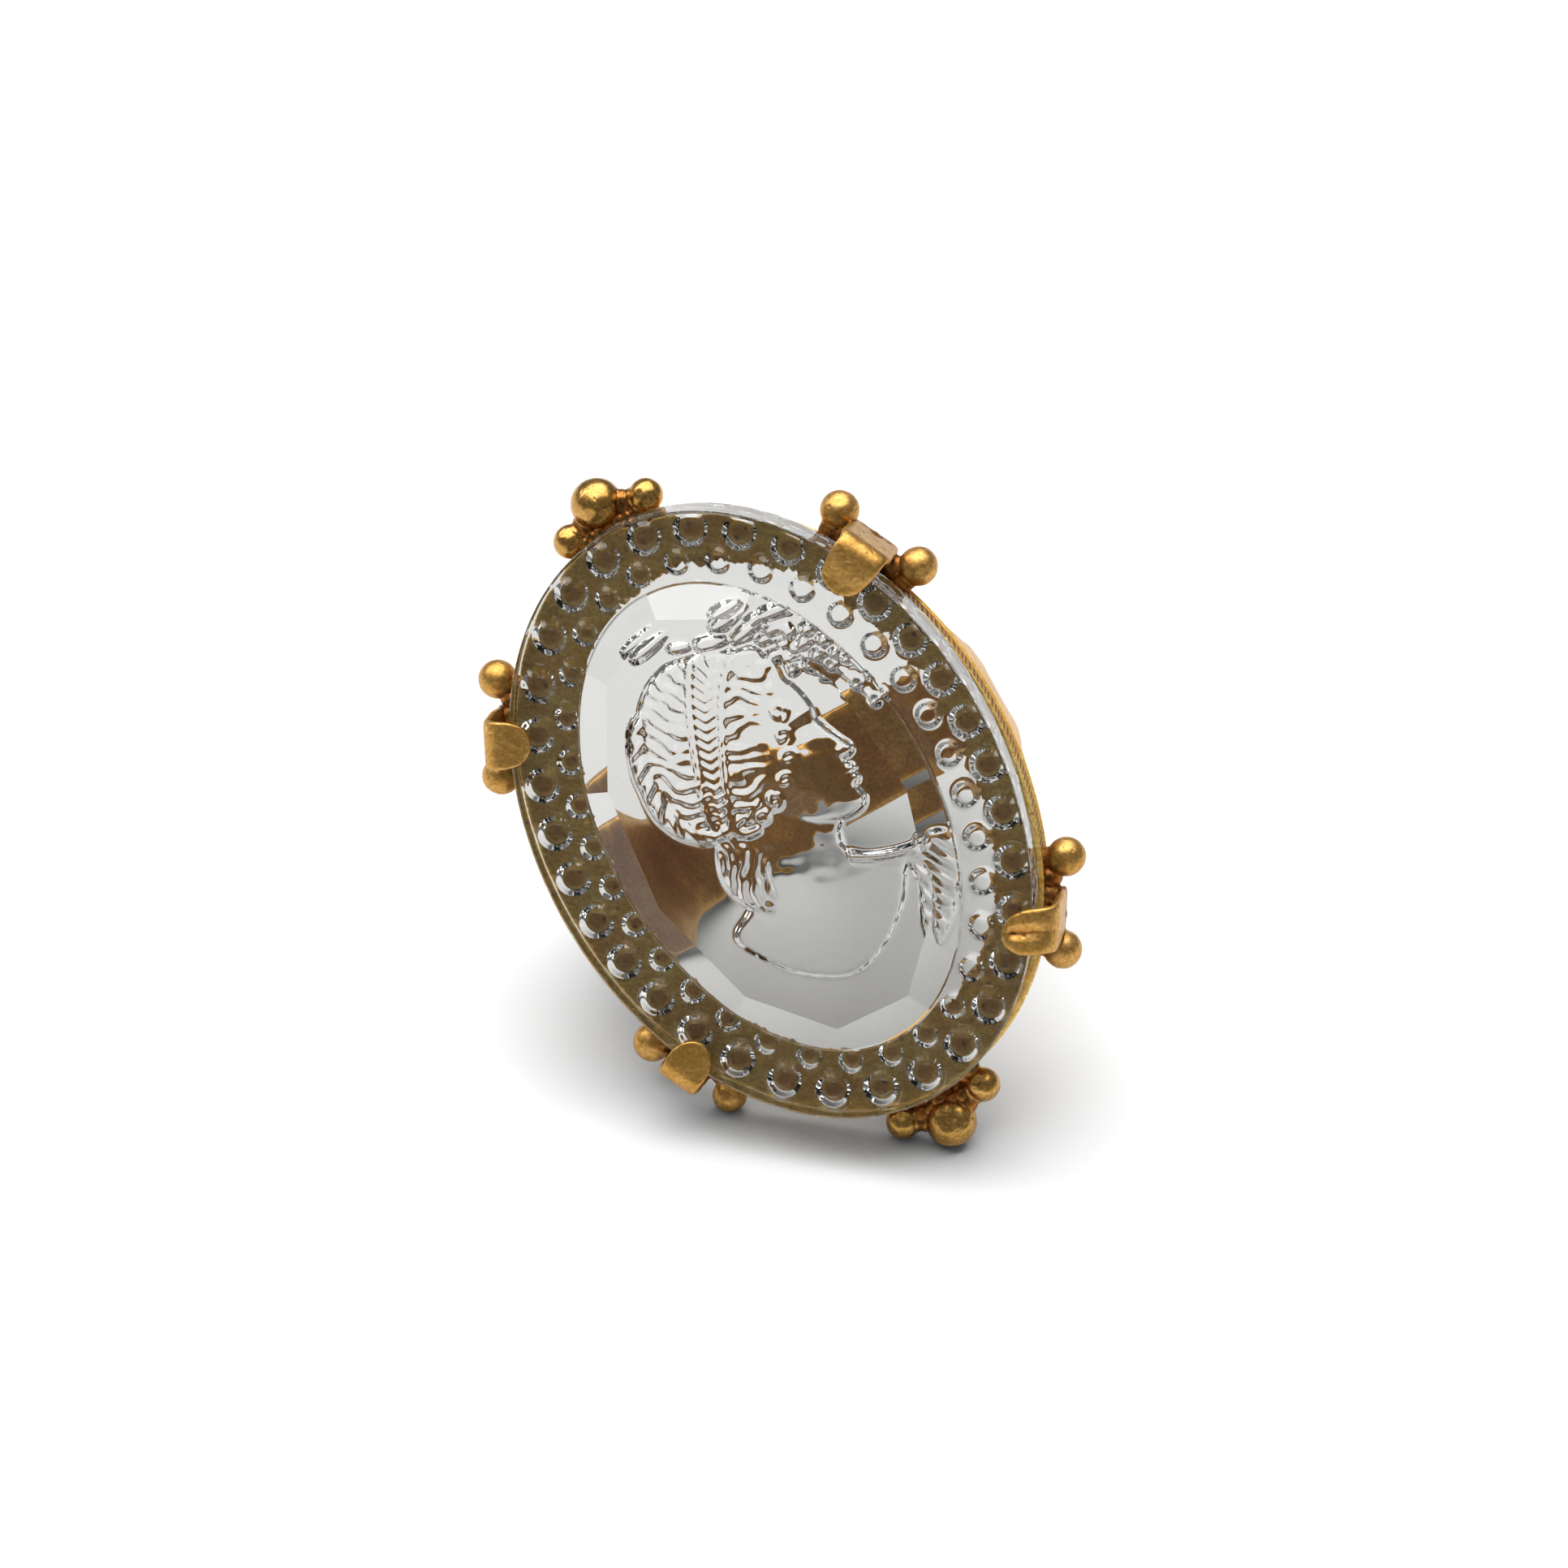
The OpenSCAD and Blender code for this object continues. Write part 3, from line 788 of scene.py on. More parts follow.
def plate_shape():
    """The back plate: a cross-section carried round the oval. Its outer side has slanting ribs over
    a smooth lip, its inner edge is ragged, and the ledge under the glass is uneven, with painted
    shade on the metal under each dimple of the glass."""
    metal = sizes()[1]
    thick, margin = mm(metal.plate), mm(metal.margin)
    inner = margin - mm(metal.ring_w)
    lip, lip_h = margin + mm(metal.lip_out), mm(metal.lip_h)
    around = 1760
    ribs = 300
    turn = np.arange(around) * 2 * np.pi / around
    r = 0.06
    section = [
        (inner + 0.3, -thick), (margin - 0.4, -thick), (lip - r, -thick), (lip, -thick + r),
        (lip, -thick + lip_h - r), (lip - r, -thick + lip_h), (margin - 0.02, -thick + lip_h + 0.02),
    ]
    section += [(margin, z) for z in np.linspace(-thick + lip_h + 0.1, -r - 0.06, 9)]
    section += [(margin, -r), (margin - r * 0.3, -r * 0.3), (margin - r, 0)]
    section += [(out, 0) for out in np.linspace(margin - r - 0.1, inner + r, 27)]
    section += [(inner + r * 0.3, -r * 0.3), (inner, -r)]
    section += [(inner, z) for z in np.linspace(-r - 0.15, -thick + r, 6)]
    section += [(inner + r, -thick)]
    section = np.array(section)
    rows = len(section)
    out = np.repeat(section[:, 0][:, None], around, 1)
    z = np.repeat(section[:, 1][:, None], around, 1)
    outer_line, inner_line = rim(turn, margin), rim(turn, inner)
    ragged = 0.12 * waves(inner_line, 1.1, 41) + 0.08 * waves(inner_line, 0.33, 42)
    ragged = ragged + 0.06 * np.abs(waves(inner_line, 0.16, 43))
    near_inner = smooth(-out, -inner - 0.55, -inner)
    side = (section[:, 0] == margin)[:, None] & (z > -thick + lip_h + 0.05) & (z < -0.05)
    rib = np.abs(np.sin(ribs / 2 * turn[None] + 3.4 * z / thick + 0.5 * waves(outer_line, 0.8, 48)))
    share = np.clip((margin - out) / (margin - inner), 0, 1)
    moved = (1 - share) * (round_the_rim(turn, PLATE_OUT) - margin)
    moved = moved + share * (-round_the_rim(turn, OPENING_IN) - inner)
    out = out + moved + near_inner * (ragged - 0.05) - np.where(side, 0.06 * (1 - rib ** 0.7), 0)
    outward = np.stack([np.cos(turn), np.sin(turn)], -1)
    points = np.concatenate([rim(turn, 0)[None] + out[..., None] * outward, z[..., None]], -1)
    top = smooth(z, -0.12, 0)
    pits = np.clip(-waves(points[..., :2], 0.55, 45) - 0.7, 0, 1)
    uneven = 0.03 + 0.03 * waves(points[..., :2], 1.5, 47) + 0.012 * waves(points[..., :2], 0.5, 46)
    points[..., 2] -= top * (uneven + 0.05 * pits)
    points = points.reshape(-1, 3)
    faces = strips(rows, around)
    last = (rows - 1) * around
    i = np.arange(around)
    j = (i + 1) % around
    faces = np.concatenate([faces, np.stack([last + i, last + j, j, i], -1)])
    flat = points[:, :2]
    # Painted shade: the metal under each dimple of the glass is darkened, standing in for the light that the
    # dimples keep from it.
    shades = [dimple_depth(flat, inset, shade, 1, first) for inset, _, _, shade, first in DIMPLE_ROWS]
    under = np.maximum(*shades)
    hatched = np.where(side, 0.5 + 0.5 * (1 - rib), 0).ravel()
    # The mark darkens the hatched side, most in its grooves, and the pits of the ledge, and as painted shade
    # it darkens the metal under the dimples.
    dark = hatched + top.ravel() * (0.4 * pits.ravel() + 0.4 * under)
    return points, faces.tolist(), dark


def shank_shape():
    """The shank: a rounded oblong carried down one shoulder, round the finger and up the other
    shoulder, with its width growing smoothly towards the plate."""
    metal = sizes()[1]
    finger, thick = mm(metal.finger_r), mm(metal.band_t)
    centre_r = finger + thick / 2
    lean = math.radians(SHOULDER_LEAN)
    rise = -band_centre() - mm(metal.plate) * 0.75
    foot = centre_r * np.array([math.cos(lean), -math.sin(lean)])
    up_way = np.array([math.sin(lean), math.cos(lean)])
    climb = (rise - foot[1]) / up_way[1]
    legs = 70
    go = np.linspace(1, 0, legs, endpoint=False)[:, None]
    right = foot + up_way * climb * go
    left = right[::-1] * [-1, 1]
    arc = np.linspace(-lean, -np.pi + lean, 260)
    bow = centre_r * np.stack([np.cos(arc), np.sin(arc)], -1)
    path = np.concatenate([right, bow, left])
    normal = np.concatenate([
        np.repeat([[up_way[1], -up_way[0]]], legs, 0),
        bow / centre_r,
        np.repeat([[-up_way[1], -up_way[0]]], legs, 0),
    ])
    flare = smooth(path[:, 1], FLARE_LOW * finger, FLARE_HIGH * finger)
    half = mm(metal.band_w) / 2 + mm(metal.shoulder_w - metal.band_w) / 2 * flare
    around = 96
    phi = np.arange(around) * 2 * np.pi / around
    wide = blunt(np.cos(phi), 0.28)
    deep = blunt(np.sin(phi), 0.42)
    edge = 1 + 0.012 * waves(np.stack([path[:, 0], path[:, 1]], -1), 3.1, 51)
    y = wide[None] * (half * edge)[:, None]
    off = deep[None] * thick / 2
    dome = 0.06 * (1 - wide[None] ** 2) * (deep[None] > 0)
    x = path[:, :1] + normal[:, :1] * (off + dome)
    z = path[:, 1:] + normal[:, 1:] * (off + dome)
    points = np.stack([x, y, z], -1)
    beaten = 0.022 * waves(points, 1.9, 52) + 0.01 * waves(points, 0.7, 53)
    points[..., 0] += normal[:, :1] * beaten * deep[None]
    points[..., 2] += normal[:, 1:] * beaten * deep[None]
    return on_band(points).reshape(-1, 3), tube_faces(len(path), around)


def ball_shape(centre, radius, seed, worn=True):
    """A small cast ball: a round grid, slightly out of true. A worn one has a few flat spots, each
    where the ball is cut off square to a random direction."""
    rows, around = 39, 64
    theta = np.linspace(0, np.pi, rows + 2)[1:-1]
    phi = np.arange(around) * 2 * np.pi / around
    way = np.stack([
        np.sin(theta)[:, None] * np.cos(phi), np.sin(theta)[:, None] * np.sin(phi),
        np.repeat(np.cos(theta)[:, None], around, 1),
    ], -1).reshape(-1, 3)
    way = np.concatenate([way, [[0, 0, 1], [0, 0, -1]]])
    draw = np.random.default_rng(SEED + seed)
    grow = 1 + 0.015 * waves(way, 2.2, seed)
    if worn:
        for tilt in (0.5, 2.0, 2.0):
            spot = np.array([0, 0, 1]) + tilt * draw.uniform(-1, 1, 3)
            spot /= np.linalg.norm(spot)
            grow = np.minimum(grow, draw.uniform(0.95, 0.98) / np.maximum(way @ spot, 0.1))
    points = centre + way * (radius * grow)[:, None]
    faces = strips(rows, around)[:, ::-1].tolist()
    top, bottom = len(points) - 2, len(points) - 1
    last = (rows - 1) * around
    for i in range(around):
        j = (i + 1) % around
        faces.append([i, j, top])
        faces.append([last + j, last + i, bottom])
    return points, faces


def claw_shape(turn, reach, width, swing, curl, furrow, seed):
    """A claw: a flat strip carried up beside the plate and clear of the glass, round a wide bend
    and in over the glass, where it ends in a round tip. It narrows a little from its root on, its
    tip may be bent along the rim, its edges may curl up and a furrow may run along it."""
    stone, metal = sizes()
    top = SEAT_GAP + mm(stone.flange) + CLAW_GAP + CLAW_T
    bend = np.array([CLAW_OUT - CLAW_BEND_R, top - CLAW_BEND_R])
    mid_r = CLAW_BEND_R - CLAW_T / 2
    bow = np.linspace(0, np.pi / 2, 40)
    up = np.linspace(0, 1, 44, endpoint=False)[:, None]
    foot = np.array([bend[0] + mid_r - 0.1, -mm(metal.plate) + 0.1])
    rising = foot + (bend + [mid_r, 0] - foot) * up
    round_part = bend + mid_r * np.stack([np.cos(bow), np.sin(bow)], -1)
    over = np.linspace(bend[0], -reach, 45)[1:]
    path = np.concatenate([rising, round_part, np.stack([over, np.full(len(over), bend[1] + mid_r)], -1)])
    ahead = np.gradient(path, axis=0)
    ahead /= np.linalg.norm(ahead, axis=1, keepdims=True)
    normal = np.stack([ahead[:, 1], -ahead[:, 0]], -1)
    run = np.concatenate([[0], np.cumsum(np.linalg.norm(np.diff(path, axis=0), axis=1))])
    left = run[-1] - run
    half = width / 2 * np.sqrt(np.clip(1 - np.clip(1 - left / (width * 0.55), 0, 1) ** 2, 0.0004, 1))
    half = half * (1.1 - 0.1 * smooth(left, reach + 2.4, reach + 0.6))
    thick = CLAW_T * (0.62 + 0.38 * smooth(left, 0, 1.6))
    around = 88
    phi = np.arange(around) * 2 * np.pi / around
    wide = blunt(np.cos(phi), 0.35)
    deep = blunt(np.sin(phi), 0.55)
    lying = smooth(left, reach + 1.2, reach - 0.2)[:, None] * smooth(left, 0.1, 0.6)[:, None]
    off = deep[None] * thick[:, None] / 2 + (thick[:, None] - CLAW_T) / 2
    off = off + curl * lying * wide[None] ** 6
    outer = np.maximum(deep, 0)[None]
    off = off - furrow * lying * outer * np.exp(-((wide[None] - 0.12 + 0.16 * lying) / 0.2) ** 2)
    side = wide[None] * half[:, None] * (1 + 0.03 * waves(path, 1.5, seed))[:, None]
    side = side - swing * smooth(left, reach + 1.5, 0)[:, None]
    points = np.stack([path[:, :1] + normal[:, :1] * off, side, path[:, 1:] + normal[:, 1:] * off], -1)
    dent = 0.014 * waves(points, 1.8, seed) + 0.002 * waves(points, 0.6, seed + 1)
    points[..., 0] += normal[:, :1] * dent * outer
    points[..., 2] += normal[:, 1:] * dent * outer
    way = facing(turn)
    outward = np.array([math.cos(way), math.sin(way), 0])
    across = np.array([-math.sin(way), math.cos(way), 0])
    flat = points.reshape(-1, 3)
    points = beside(turn, 0, 0) + flat[:, :1] * outward - flat[:, 1:2] * across + flat[:, 2:] * [0, 0, 1]
    return points, tube_faces(len(path), around)


def solder_run(start, end, count, radius=SOLDER_R):
    """Lumps of solder spread evenly from one place to another, both included: each with its
    radius."""
    places = start + (end - start) * np.linspace(0, 1, count)[:, None]
    return [(place, radius) for place in places]


def fused(name, shapes):
    """Runs shapes together as solder does: they are joined, made one skin of small cells, and
    smoothed so that each corner between them fills. Returns the skin's points and faces, in
    millimetres."""
    points, faces, first = [], [], 0
    for p, f in shapes:
        points.append(p)
        faces += [[first + k for k in face] for face in f]
        first += len(p)
    mesh = bpy.data.meshes.new(name + "_parts")
    mesh.from_pydata(np.concatenate(points), [], faces)
    mesh.update()
    work = linked(name + "_parts", mesh)
    skin = work.modifiers.new("skin", "REMESH")
    skin.mode = "VOXEL"
    skin.voxel_size = SKIN_CELL
    even = work.modifiers.new("even", "SMOOTH")
    even.factor = 0.5
    even.iterations = SKIN_ROUNDS
    done = work.evaluated_get(bpy.context.evaluated_depsgraph_get()).to_mesh()
    co = read(done.vertices, "co", 3, np.float32)
    loops = read(done.loops, "vertex_index", 1, np.int32)
    total = read(done.polygons, "loop_total", 1, np.int32)
    faces = [part.tolist() for part in np.split(loops, np.cumsum(total)[:-1])]
    work.to_mesh_clear()
    bpy.data.objects.remove(work)
    bpy.data.meshes.remove(mesh)
    return co.reshape(-1, 3).astype(float), faces


def hollowness(points, faces, rounds):
    """How far each point lies in a hollow of the skin, and the outward normals. The gap is from the
    point to the mean of its neighbours, taken over and over for a number of rounds and measured
    along the normal: positive in corners and negative on ridges, in millimetres."""
    quads = np.array([f for f in faces if len(f) == 4])
    edges = np.unique(np.sort(np.concatenate([quads[:, [k, (k + 1) % 4]] for k in range(4)]), axis=1), axis=0)
    count = len(points)
    a, b = edges.T
    links = np.bincount(a, minlength=count) + np.bincount(b, minlength=count)
    links = np.maximum(links, 1)

    def neighbours(values):
        total = [np.bincount(a, col[b], count) + np.bincount(b, col[a], count) for col in values.T]
        return np.stack(total, -1) / links[:, None]

    cross = np.cross(points[quads[:, 2]] - points[quads[:, 0]], points[quads[:, 3]] - points[quads[:, 1]])
    normal = np.stack([sum(np.bincount(quads[:, k], part, count) for k in range(4)) for part in cross.T], -1)
    normal /= np.linalg.norm(normal, axis=1, keepdims=True) + 1e-12
    blurred = points
    for _ in range(rounds):
        blurred = neighbours(blurred)
    return np.einsum("ij,ij->i", blurred - points, normal), normal


def beaten_skin(points, faces, seed):
    """Presses small dents and specks into a skin, and gives the mark of its corners: 1 in deep
    corners, 0 on open metal."""
    hollow, normal = hollowness(points, faces, HOLLOW_ROUNDS)
    dents = 0.004 * waves(points, 0.6, seed) + 0.0015 * waves(points, 0.25, seed + 1)
    pits = np.clip(waves(points, 0.3, seed + 2) - 0.95, 0, 1)
    points = points + normal * (dents - 0.03 * pits)[:, None]
    return points, np.clip(hollow / 0.035 + 0.5 * pits, 0, 1)


def joined_piece(name, balls, lumps, others, material, seed):
    """A piece of balls and lumps of solder run together with other shapes. balls and lumps are
    lists of places with radii. The solder mark is 1 close to a lump and clear of every ball."""
    shapes = list(others)
    shapes += [ball_shape(place, radius, seed + k) for k, (place, radius) in enumerate(balls)]
    for k, (place, radius) in enumerate(lumps):
        shapes.append(ball_shape(place, radius, seed + 10 + k, worn=False))
    points, faces = fused(name, shapes)

    def gap(group):
        return np.min([np.linalg.norm(points - place, axis=1) - radius for place, radius in group], axis=0)

    solder = smooth(gap(balls), 0.01, 0.12) * (1 - smooth(gap(lumps), 0.03, 0.16))
    points, crevice_and_shade = beaten_skin(points, faces, seed + 30)
    marks = {"crevice_and_shade": crevice_and_shade, "solder": solder}
    return new_piece(name, points, faces, material, "setting", marks=marks)


# Materials. Signal wraps a socket so that shader maths reads as plain expressions.

class Signal:
    """A value in a material: a socket, with the operators that the materials use."""

    def __init__(self, paint, socket):
        self.paint = paint
        self.socket = socket

    def maths(self, operation, *others):
        return self.paint.add("ShaderNodeMath", {"operation": operation}, [self, *others])

    def __add__(self, other):
        return self.maths("ADD", other)

    def __mul__(self, other):
        return self.maths("MULTIPLY", other)

    def clamp(self):
        return self.paint.add("ShaderNodeClamp", {}, [self])

    def step(self, low, high):
        """A smooth step from 0 at low to 1 at high."""
        settings = {"interpolation_type": "SMOOTHSTEP"}
        return self.paint.add("ShaderNodeMapRange", settings, [self, low, high, 0.0, 1.0])

    def greater(self, other):
        return self.maths("MAXIMUM", other)


class Paint:
    """Builds one node material."""

    def __init__(self, name):
        self.material = bpy.data.materials.new(name)
        self.material.use_nodes = True
        self.tree = self.material.node_tree
        self.shader = self.tree.nodes["Principled BSDF"]

    def add(self, kind, settings, values, output=0):
        """Adds a node of a kind, applies its settings first and then its inputs, and returns one
        output. values is a list in socket order or a dict by socket name; a Signal is linked and
        anything else is set."""
        node = self.tree.nodes.new(kind)
        for key, value in settings.items():
            setattr(node, key, value)
        for key, value in (values.items() if isinstance(values, dict) else enumerate(values)):
            self.give(node.inputs[key], value)
        return Signal(self, node.outputs[output])

    def give(self, socket, value):
        if isinstance(value, Signal):
            self.tree.links.new(value.socket, socket)
        else:
            socket.default_value = value

    def set(self, **values):
        """Sets or links inputs of the main shader; underscores stand for spaces."""
        for key, value in values.items():
            self.give(self.shader.inputs[key.replace("_", " ")], value)

    def place(self):
        return self.add("ShaderNodeTexCoord", {}, [], "Object")

    def noise(self, size, detail=4.0, rough=0.55):
        """Fractal noise on Object coordinates; size is the width of its largest lumps in millimetres."""
        return self.add("ShaderNodeTexNoise", {}, {
            "Vector": self.place(), "Scale": 1 / (size * MM), "Detail": detail, "Roughness": rough,
        })

    def cells(self, size):
        """Distance to the nearest of scattered spots; size is the width of a cell in millimetres."""
        return self.add("ShaderNodeTexVoronoi", {}, {"Vector": self.place(), "Scale": 1 / (size * MM)})

    def mark(self, name):
        """A value that the mesh holds for each point."""
        return self.add("ShaderNodeAttribute", {"attribute_name": name}, [], "Fac")

    def mix(self, share, low, high):
        """A colour between low and high."""
        node = self.tree.nodes.new("ShaderNodeMix")
        node.data_type = "RGBA"
        sockets = {s.identifier: s for s in node.inputs}
        self.give(sockets["Factor_Float"], share)
        for key, value in (("A_Color", low), ("B_Color", high)):
            self.give(sockets[key], value if isinstance(value, Signal) else (*value, 1))
        return Signal(self, next(s for s in node.outputs if s.identifier == "Result_Color"))

    def bump(self, height, depth):
        """A normal from a height; depth is in millimetres for a height of 1."""
        return self.add("ShaderNodeBump", {}, {"Height": height, "Strength": 1.0, "Distance": depth * MM})


def brighter(colour, times):
    """A colour made brighter, no channel going over 1."""
    return tuple(min(1.0, channel * times) for channel in colour)


def old_gold(name, gold, wear=1.0, rough=0.30, grain_depth=0.008, metallic=1.0):
    """Hand-worked gold: satin with fine scratches and grain, dark pin holes, clouds of patina,
    orange-brown solder, and dark brown in the corners. Where a piece's mark also holds painted
    shade, as under the glass's dimples on the back plate, that shade is painted dark brown too."""
    metal = sizes()[1]
    paint = Paint(name)
    crevice_and_shade = paint.mark("crevice_and_shade")
    solder = paint.mark("solder")
    clouds = paint.noise(2.2, 5.0)
    grain = paint.noise(0.16, 6.0, 0.62)
    strokes = paint.add("ShaderNodeTexNoise", {}, {
        "Vector": paint.add("ShaderNodeMapping", {}, {"Vector": paint.place(), "Scale": (1.0, 5.0, 2.2)}),
        "Scale": 1 / (0.55 * MM), "Detail": 5.0, "Roughness": 0.62,
    })
    pins = paint.cells(0.13).step(0.3, 0.12) * paint.noise(0.8, 3.0).step(0.5, 0.62)
    specks = paint.cells(0.30).step(0.2, 0.08) * paint.noise(1.3, 3.0).step(0.54, 0.66)
    blotch = paint.noise(0.9, 6.0, 0.66).step(0.56, 0.74)
    # Patina in the corners and spots; on the back plate the mark also holds the painted shade under the
    # glass's dimples, which this darkens too.
    dirt_and_shade = crevice_and_shade.step(0.35, 0.95) * 0.9
    for spots, share in ((specks, 0.7), (blotch, 0.35), (pins, 0.5)):
        dirt_and_shade = dirt_and_shade.greater(spots * share * wear)
    # Rouge in the corners; on the back plate it also tints the painted shade under the dimples.
    blush = crevice_and_shade.step(0.05, 0.5)
    pale = (min(1.0, gold[0] * 1.2), min(1.0, gold[1] * 1.26), min(1.0, gold[2] * 1.6))
    deep = (gold[0] * 0.66, gold[1] * 0.56, gold[2] * 0.44)
    colour = paint.mix(clouds.step(0.36, 0.66), gold, pale)
    colour = paint.mix(grain.step(0.6, 0.38) * 0.6, colour, deep)
    colour = paint.mix(strokes.step(0.56, 0.4) * 0.5 * wear, colour, deep)
    colour = paint.mix(blush * 0.6, colour, tuple(metal.rouge))
    colour = paint.mix(dirt_and_shade, colour, tuple(metal.patina))
    flux = paint.noise(0.3, 5.0, 0.6)
    rust = (metal.rouge[0] * 0.85, metal.rouge[1] * 0.8, metal.rouge[2] * 0.7)
    burnt = paint.mix(flux.step(0.42, 0.6), rust, tuple(metal.patina))
    colour = paint.mix(solder * 0.85, colour, burnt)
    paint.set(Base_Color=colour, Metallic=metallic)
    paint.set(Roughness=(clouds * 0.12 + grain * 0.16 + dirt_and_shade * 0.25 + solder * 0.08 + (rough - 0.14)).clamp())
    height = grain * 0.35 + strokes * 0.3 + blotch * -0.2 + specks * -0.5 + pins * -0.6
    paint.set(Normal=paint.bump(height, grain_depth))
    return paint.material


def pressed_glass(name):
    """Clear pressed glass with a few specks of dust. Its grey colour is partly the glass's own faint
    grey-green and partly painted shade that darkens the floor and metal seen through it.
    """
    stone = sizes()[0]
    paint = Paint(name)
    dust = paint.cells(0.55).step(0.075, 0.045) * paint.noise(2.6, 2.0).step(0.5, 0.6)
    # The base colour paints shade onto the floor and metal seen through the glass, over the glass's own faint
    # grey-green.
    colour = paint.mix(dust * 0.75, tuple(stone.tint_and_shade), (0.35, 0.31, 0.24))
    stain = paint.noise(2.4, 5.0, 0.7).step(0.62, 0.72) * paint.noise(0.25, 4.0).step(0.5, 0.6)
    colour = paint.mix(stain * 0.4, colour, (0.55, 0.48, 0.3))
    paint.set(Base_Color=colour, Roughness=0.0, IOR=1.52, Transmission_Weight=1.0)
    return paint.material


def studio_white(name):
    """Matt white card with a barely visible grain."""
    paint = Paint(name)
    tone = paint.noise(40.0, 3.0).step(0.3, 0.7)
    paint.set(Base_Color=paint.mix(tone, (0.80, 0.80, 0.80), (0.82, 0.82, 0.82)), Roughness=0.9)
    paint.set(Specular_IOR_Level=0.1)
    return paint.material


# Operators: one for each group of like pieces, and one for the stage.

class RING_OT_glass(bpy.types.Operator):
    """Build the glass with its dimples, facets and carved bust"""
    bl_idname = "ring.glass"
    bl_label = "Glass"

    def execute(self, context):
        points, faces, smooth_faces, back_faces = glass_shape()
        glass = pressed_glass("pressed_glass")
        piece = new_piece("glass_stone", points, faces, glass, "stone", shade=smooth_faces)
        sharpen(piece.data, back_faces, math.radians(8))
        return {"FINISHED"}


class RING_OT_plate(bpy.types.Operator):
    """Build the open back plate with its ribbed side and its lip"""
    bl_idname = "ring.plate"
    bl_label = "Back plate"

    def execute(self, context):
        points, faces, dark = plate_shape()
        # Painted light in part: the plate's gold is paler and brighter than the rest, partly the plate's own
        # dull metal and partly a lift that makes up for the light the tinted glass keeps from it.
        gold = old_gold("plate_gold", tuple(sizes()[1].plate_gold), 1.0, 0.5, grain_depth=0.02, metallic=0.5)
        # Its mark holds the hatching's grooves, the pits and the painted shade under the dimples.
        new_piece("back_plate", points, faces, gold, "setting",
                  marks={"crevice_and_shade": dark, "solder": np.zeros(len(points))})
        return {"FINISHED"}


class RING_OT_shank(bpy.types.Operator):
    """Build the shank with its flared shoulders"""
    bl_idname = "ring.shank"
    bl_label = "Shank"

    def execute(self, context):
        points, faces = shank_shape()
        gold = old_gold("shank_gold", brighter(sizes()[1].gold, 1.25), 0.6, 0.36)
        new_piece("shank", points, faces, gold, "setting",
                  marks={"crevice_and_shade": np.zeros(len(points)), "solder": np.zeros(len(points))})
        return {"FINISHED"}


class RING_OT_claws(bpy.types.Operator):
    """Build each claw, soldered to the two balls beside it"""
    bl_idname = "ring.claws"
    bl_label = "Claws"

    def execute(self, context):
        metal = sizes()[1]
        # Painted light: the claws use a brighter copy of the gold, making up for the dark front of the studio
        # that their tops reflect.
        gold = old_gold("claw_gold", brighter(metal.gold, 1.12), 1.0, 0.42, grain_depth=0.009)
        radius = mm(metal.ball_r)
        for number, (name, (turn, before, after, *form)) in enumerate(CLAWS.items()):
            at = math.radians(turn)
            claw = claw_shape(at, *form, 100 + 60 * number)
            feet = [beside(at, CLAW_OUT * share, -BALL_DROP) for share in (0.1, 0.55)]
            balls, lumps = [], []
            for beside_turn in (at - math.radians(before), at + math.radians(after)):
                ball = beside(beside_turn, BALL_OUT, -BALL_DROP)
                rests = name == "claw_lower_left" and beside_turn > at
                balls.append((ball, radius * (REST_BALL_GROWTH if rests else CLAW_BALL_GROWTH)))
                root = beside(beside_turn, SOLDER_START, -BALL_DROP)
                end = beside(beside_turn, 0.45, -BALL_DROP)
                lumps += solder_run(root, ball, 4)[:3]
                for foot in feet:
                    lumps += solder_run(foot, end, 4, SOLDER_R * FOOT_GROWTH)
            joined_piece(name, balls, lumps, [claw], gold, 110 + 60 * number)
        return {"FINISHED"}


class RING_OT_clusters(bpy.types.Operator):
    """Build the cluster of three balls at each end of the plate"""
    bl_idname = "ring.clusters"
    bl_label = "Ball clusters"

    def execute(self, context):
        metal = sizes()[1]
        gold = old_gold("ball_gold", tuple(metal.gold), 1.0, 0.27)
        for number, (name, (turn, before, after, big_out, small_out)) in enumerate(CLUSTERS.items()):
            at = math.radians(turn)
            big = beside(at, big_out, -BALL_DROP)
            root = beside(at, SOLDER_START, -BALL_DROP)
            balls = [(big, mm(metal.big_ball_r) * BIG_BALL_GROWTH)]
            lumps = solder_run(root, big, 4)[:3]
            for beside_turn in (at - math.radians(before), at + math.radians(after)):
                small = beside(beside_turn, small_out, -BALL_DROP)
                balls.append((small, mm(metal.ball_r) * SMALL_BALL_GROWTH))
                side_root = beside(beside_turn, SOLDER_START, -BALL_DROP)
                for start, end in ((root, side_root), (big, small), ((root + big) / 2, small)):
                    lumps += solder_run(start, end, 5)
            joined_piece(name, balls, lumps, [], gold, 400 + 60 * number)
        return {"FINISHED"}


def softbox(name, place, target, size, watts):
    """A square studio light at a place, facing a target; places in metres."""
    light = bpy.data.lights.new(name, "AREA")
    light.shape = "RECTANGLE"
    light.size, light.size_y = size
    light.energy = watts
    lamp = linked(name, light)
    lamp.location = place
    lamp.rotation_euler = (Vector(target) - Vector(place)).to_track_quat("-Z", "Y").to_euler()


# The camera's direction in the photograph, from the oval's shape and the way it leans.
CAMERA_AZIMUTH = 9.88
CAMERA_ELEVATION = 39.52
CAMERA_ROLL = 2.66
# From the middle of the stone's face to the middle of the picture, in millimetres.
FRAME_RIGHT = 0.642
FRAME_UP = 1.503
FRAME_WIDTH = 71.69
SENSOR = 36.0


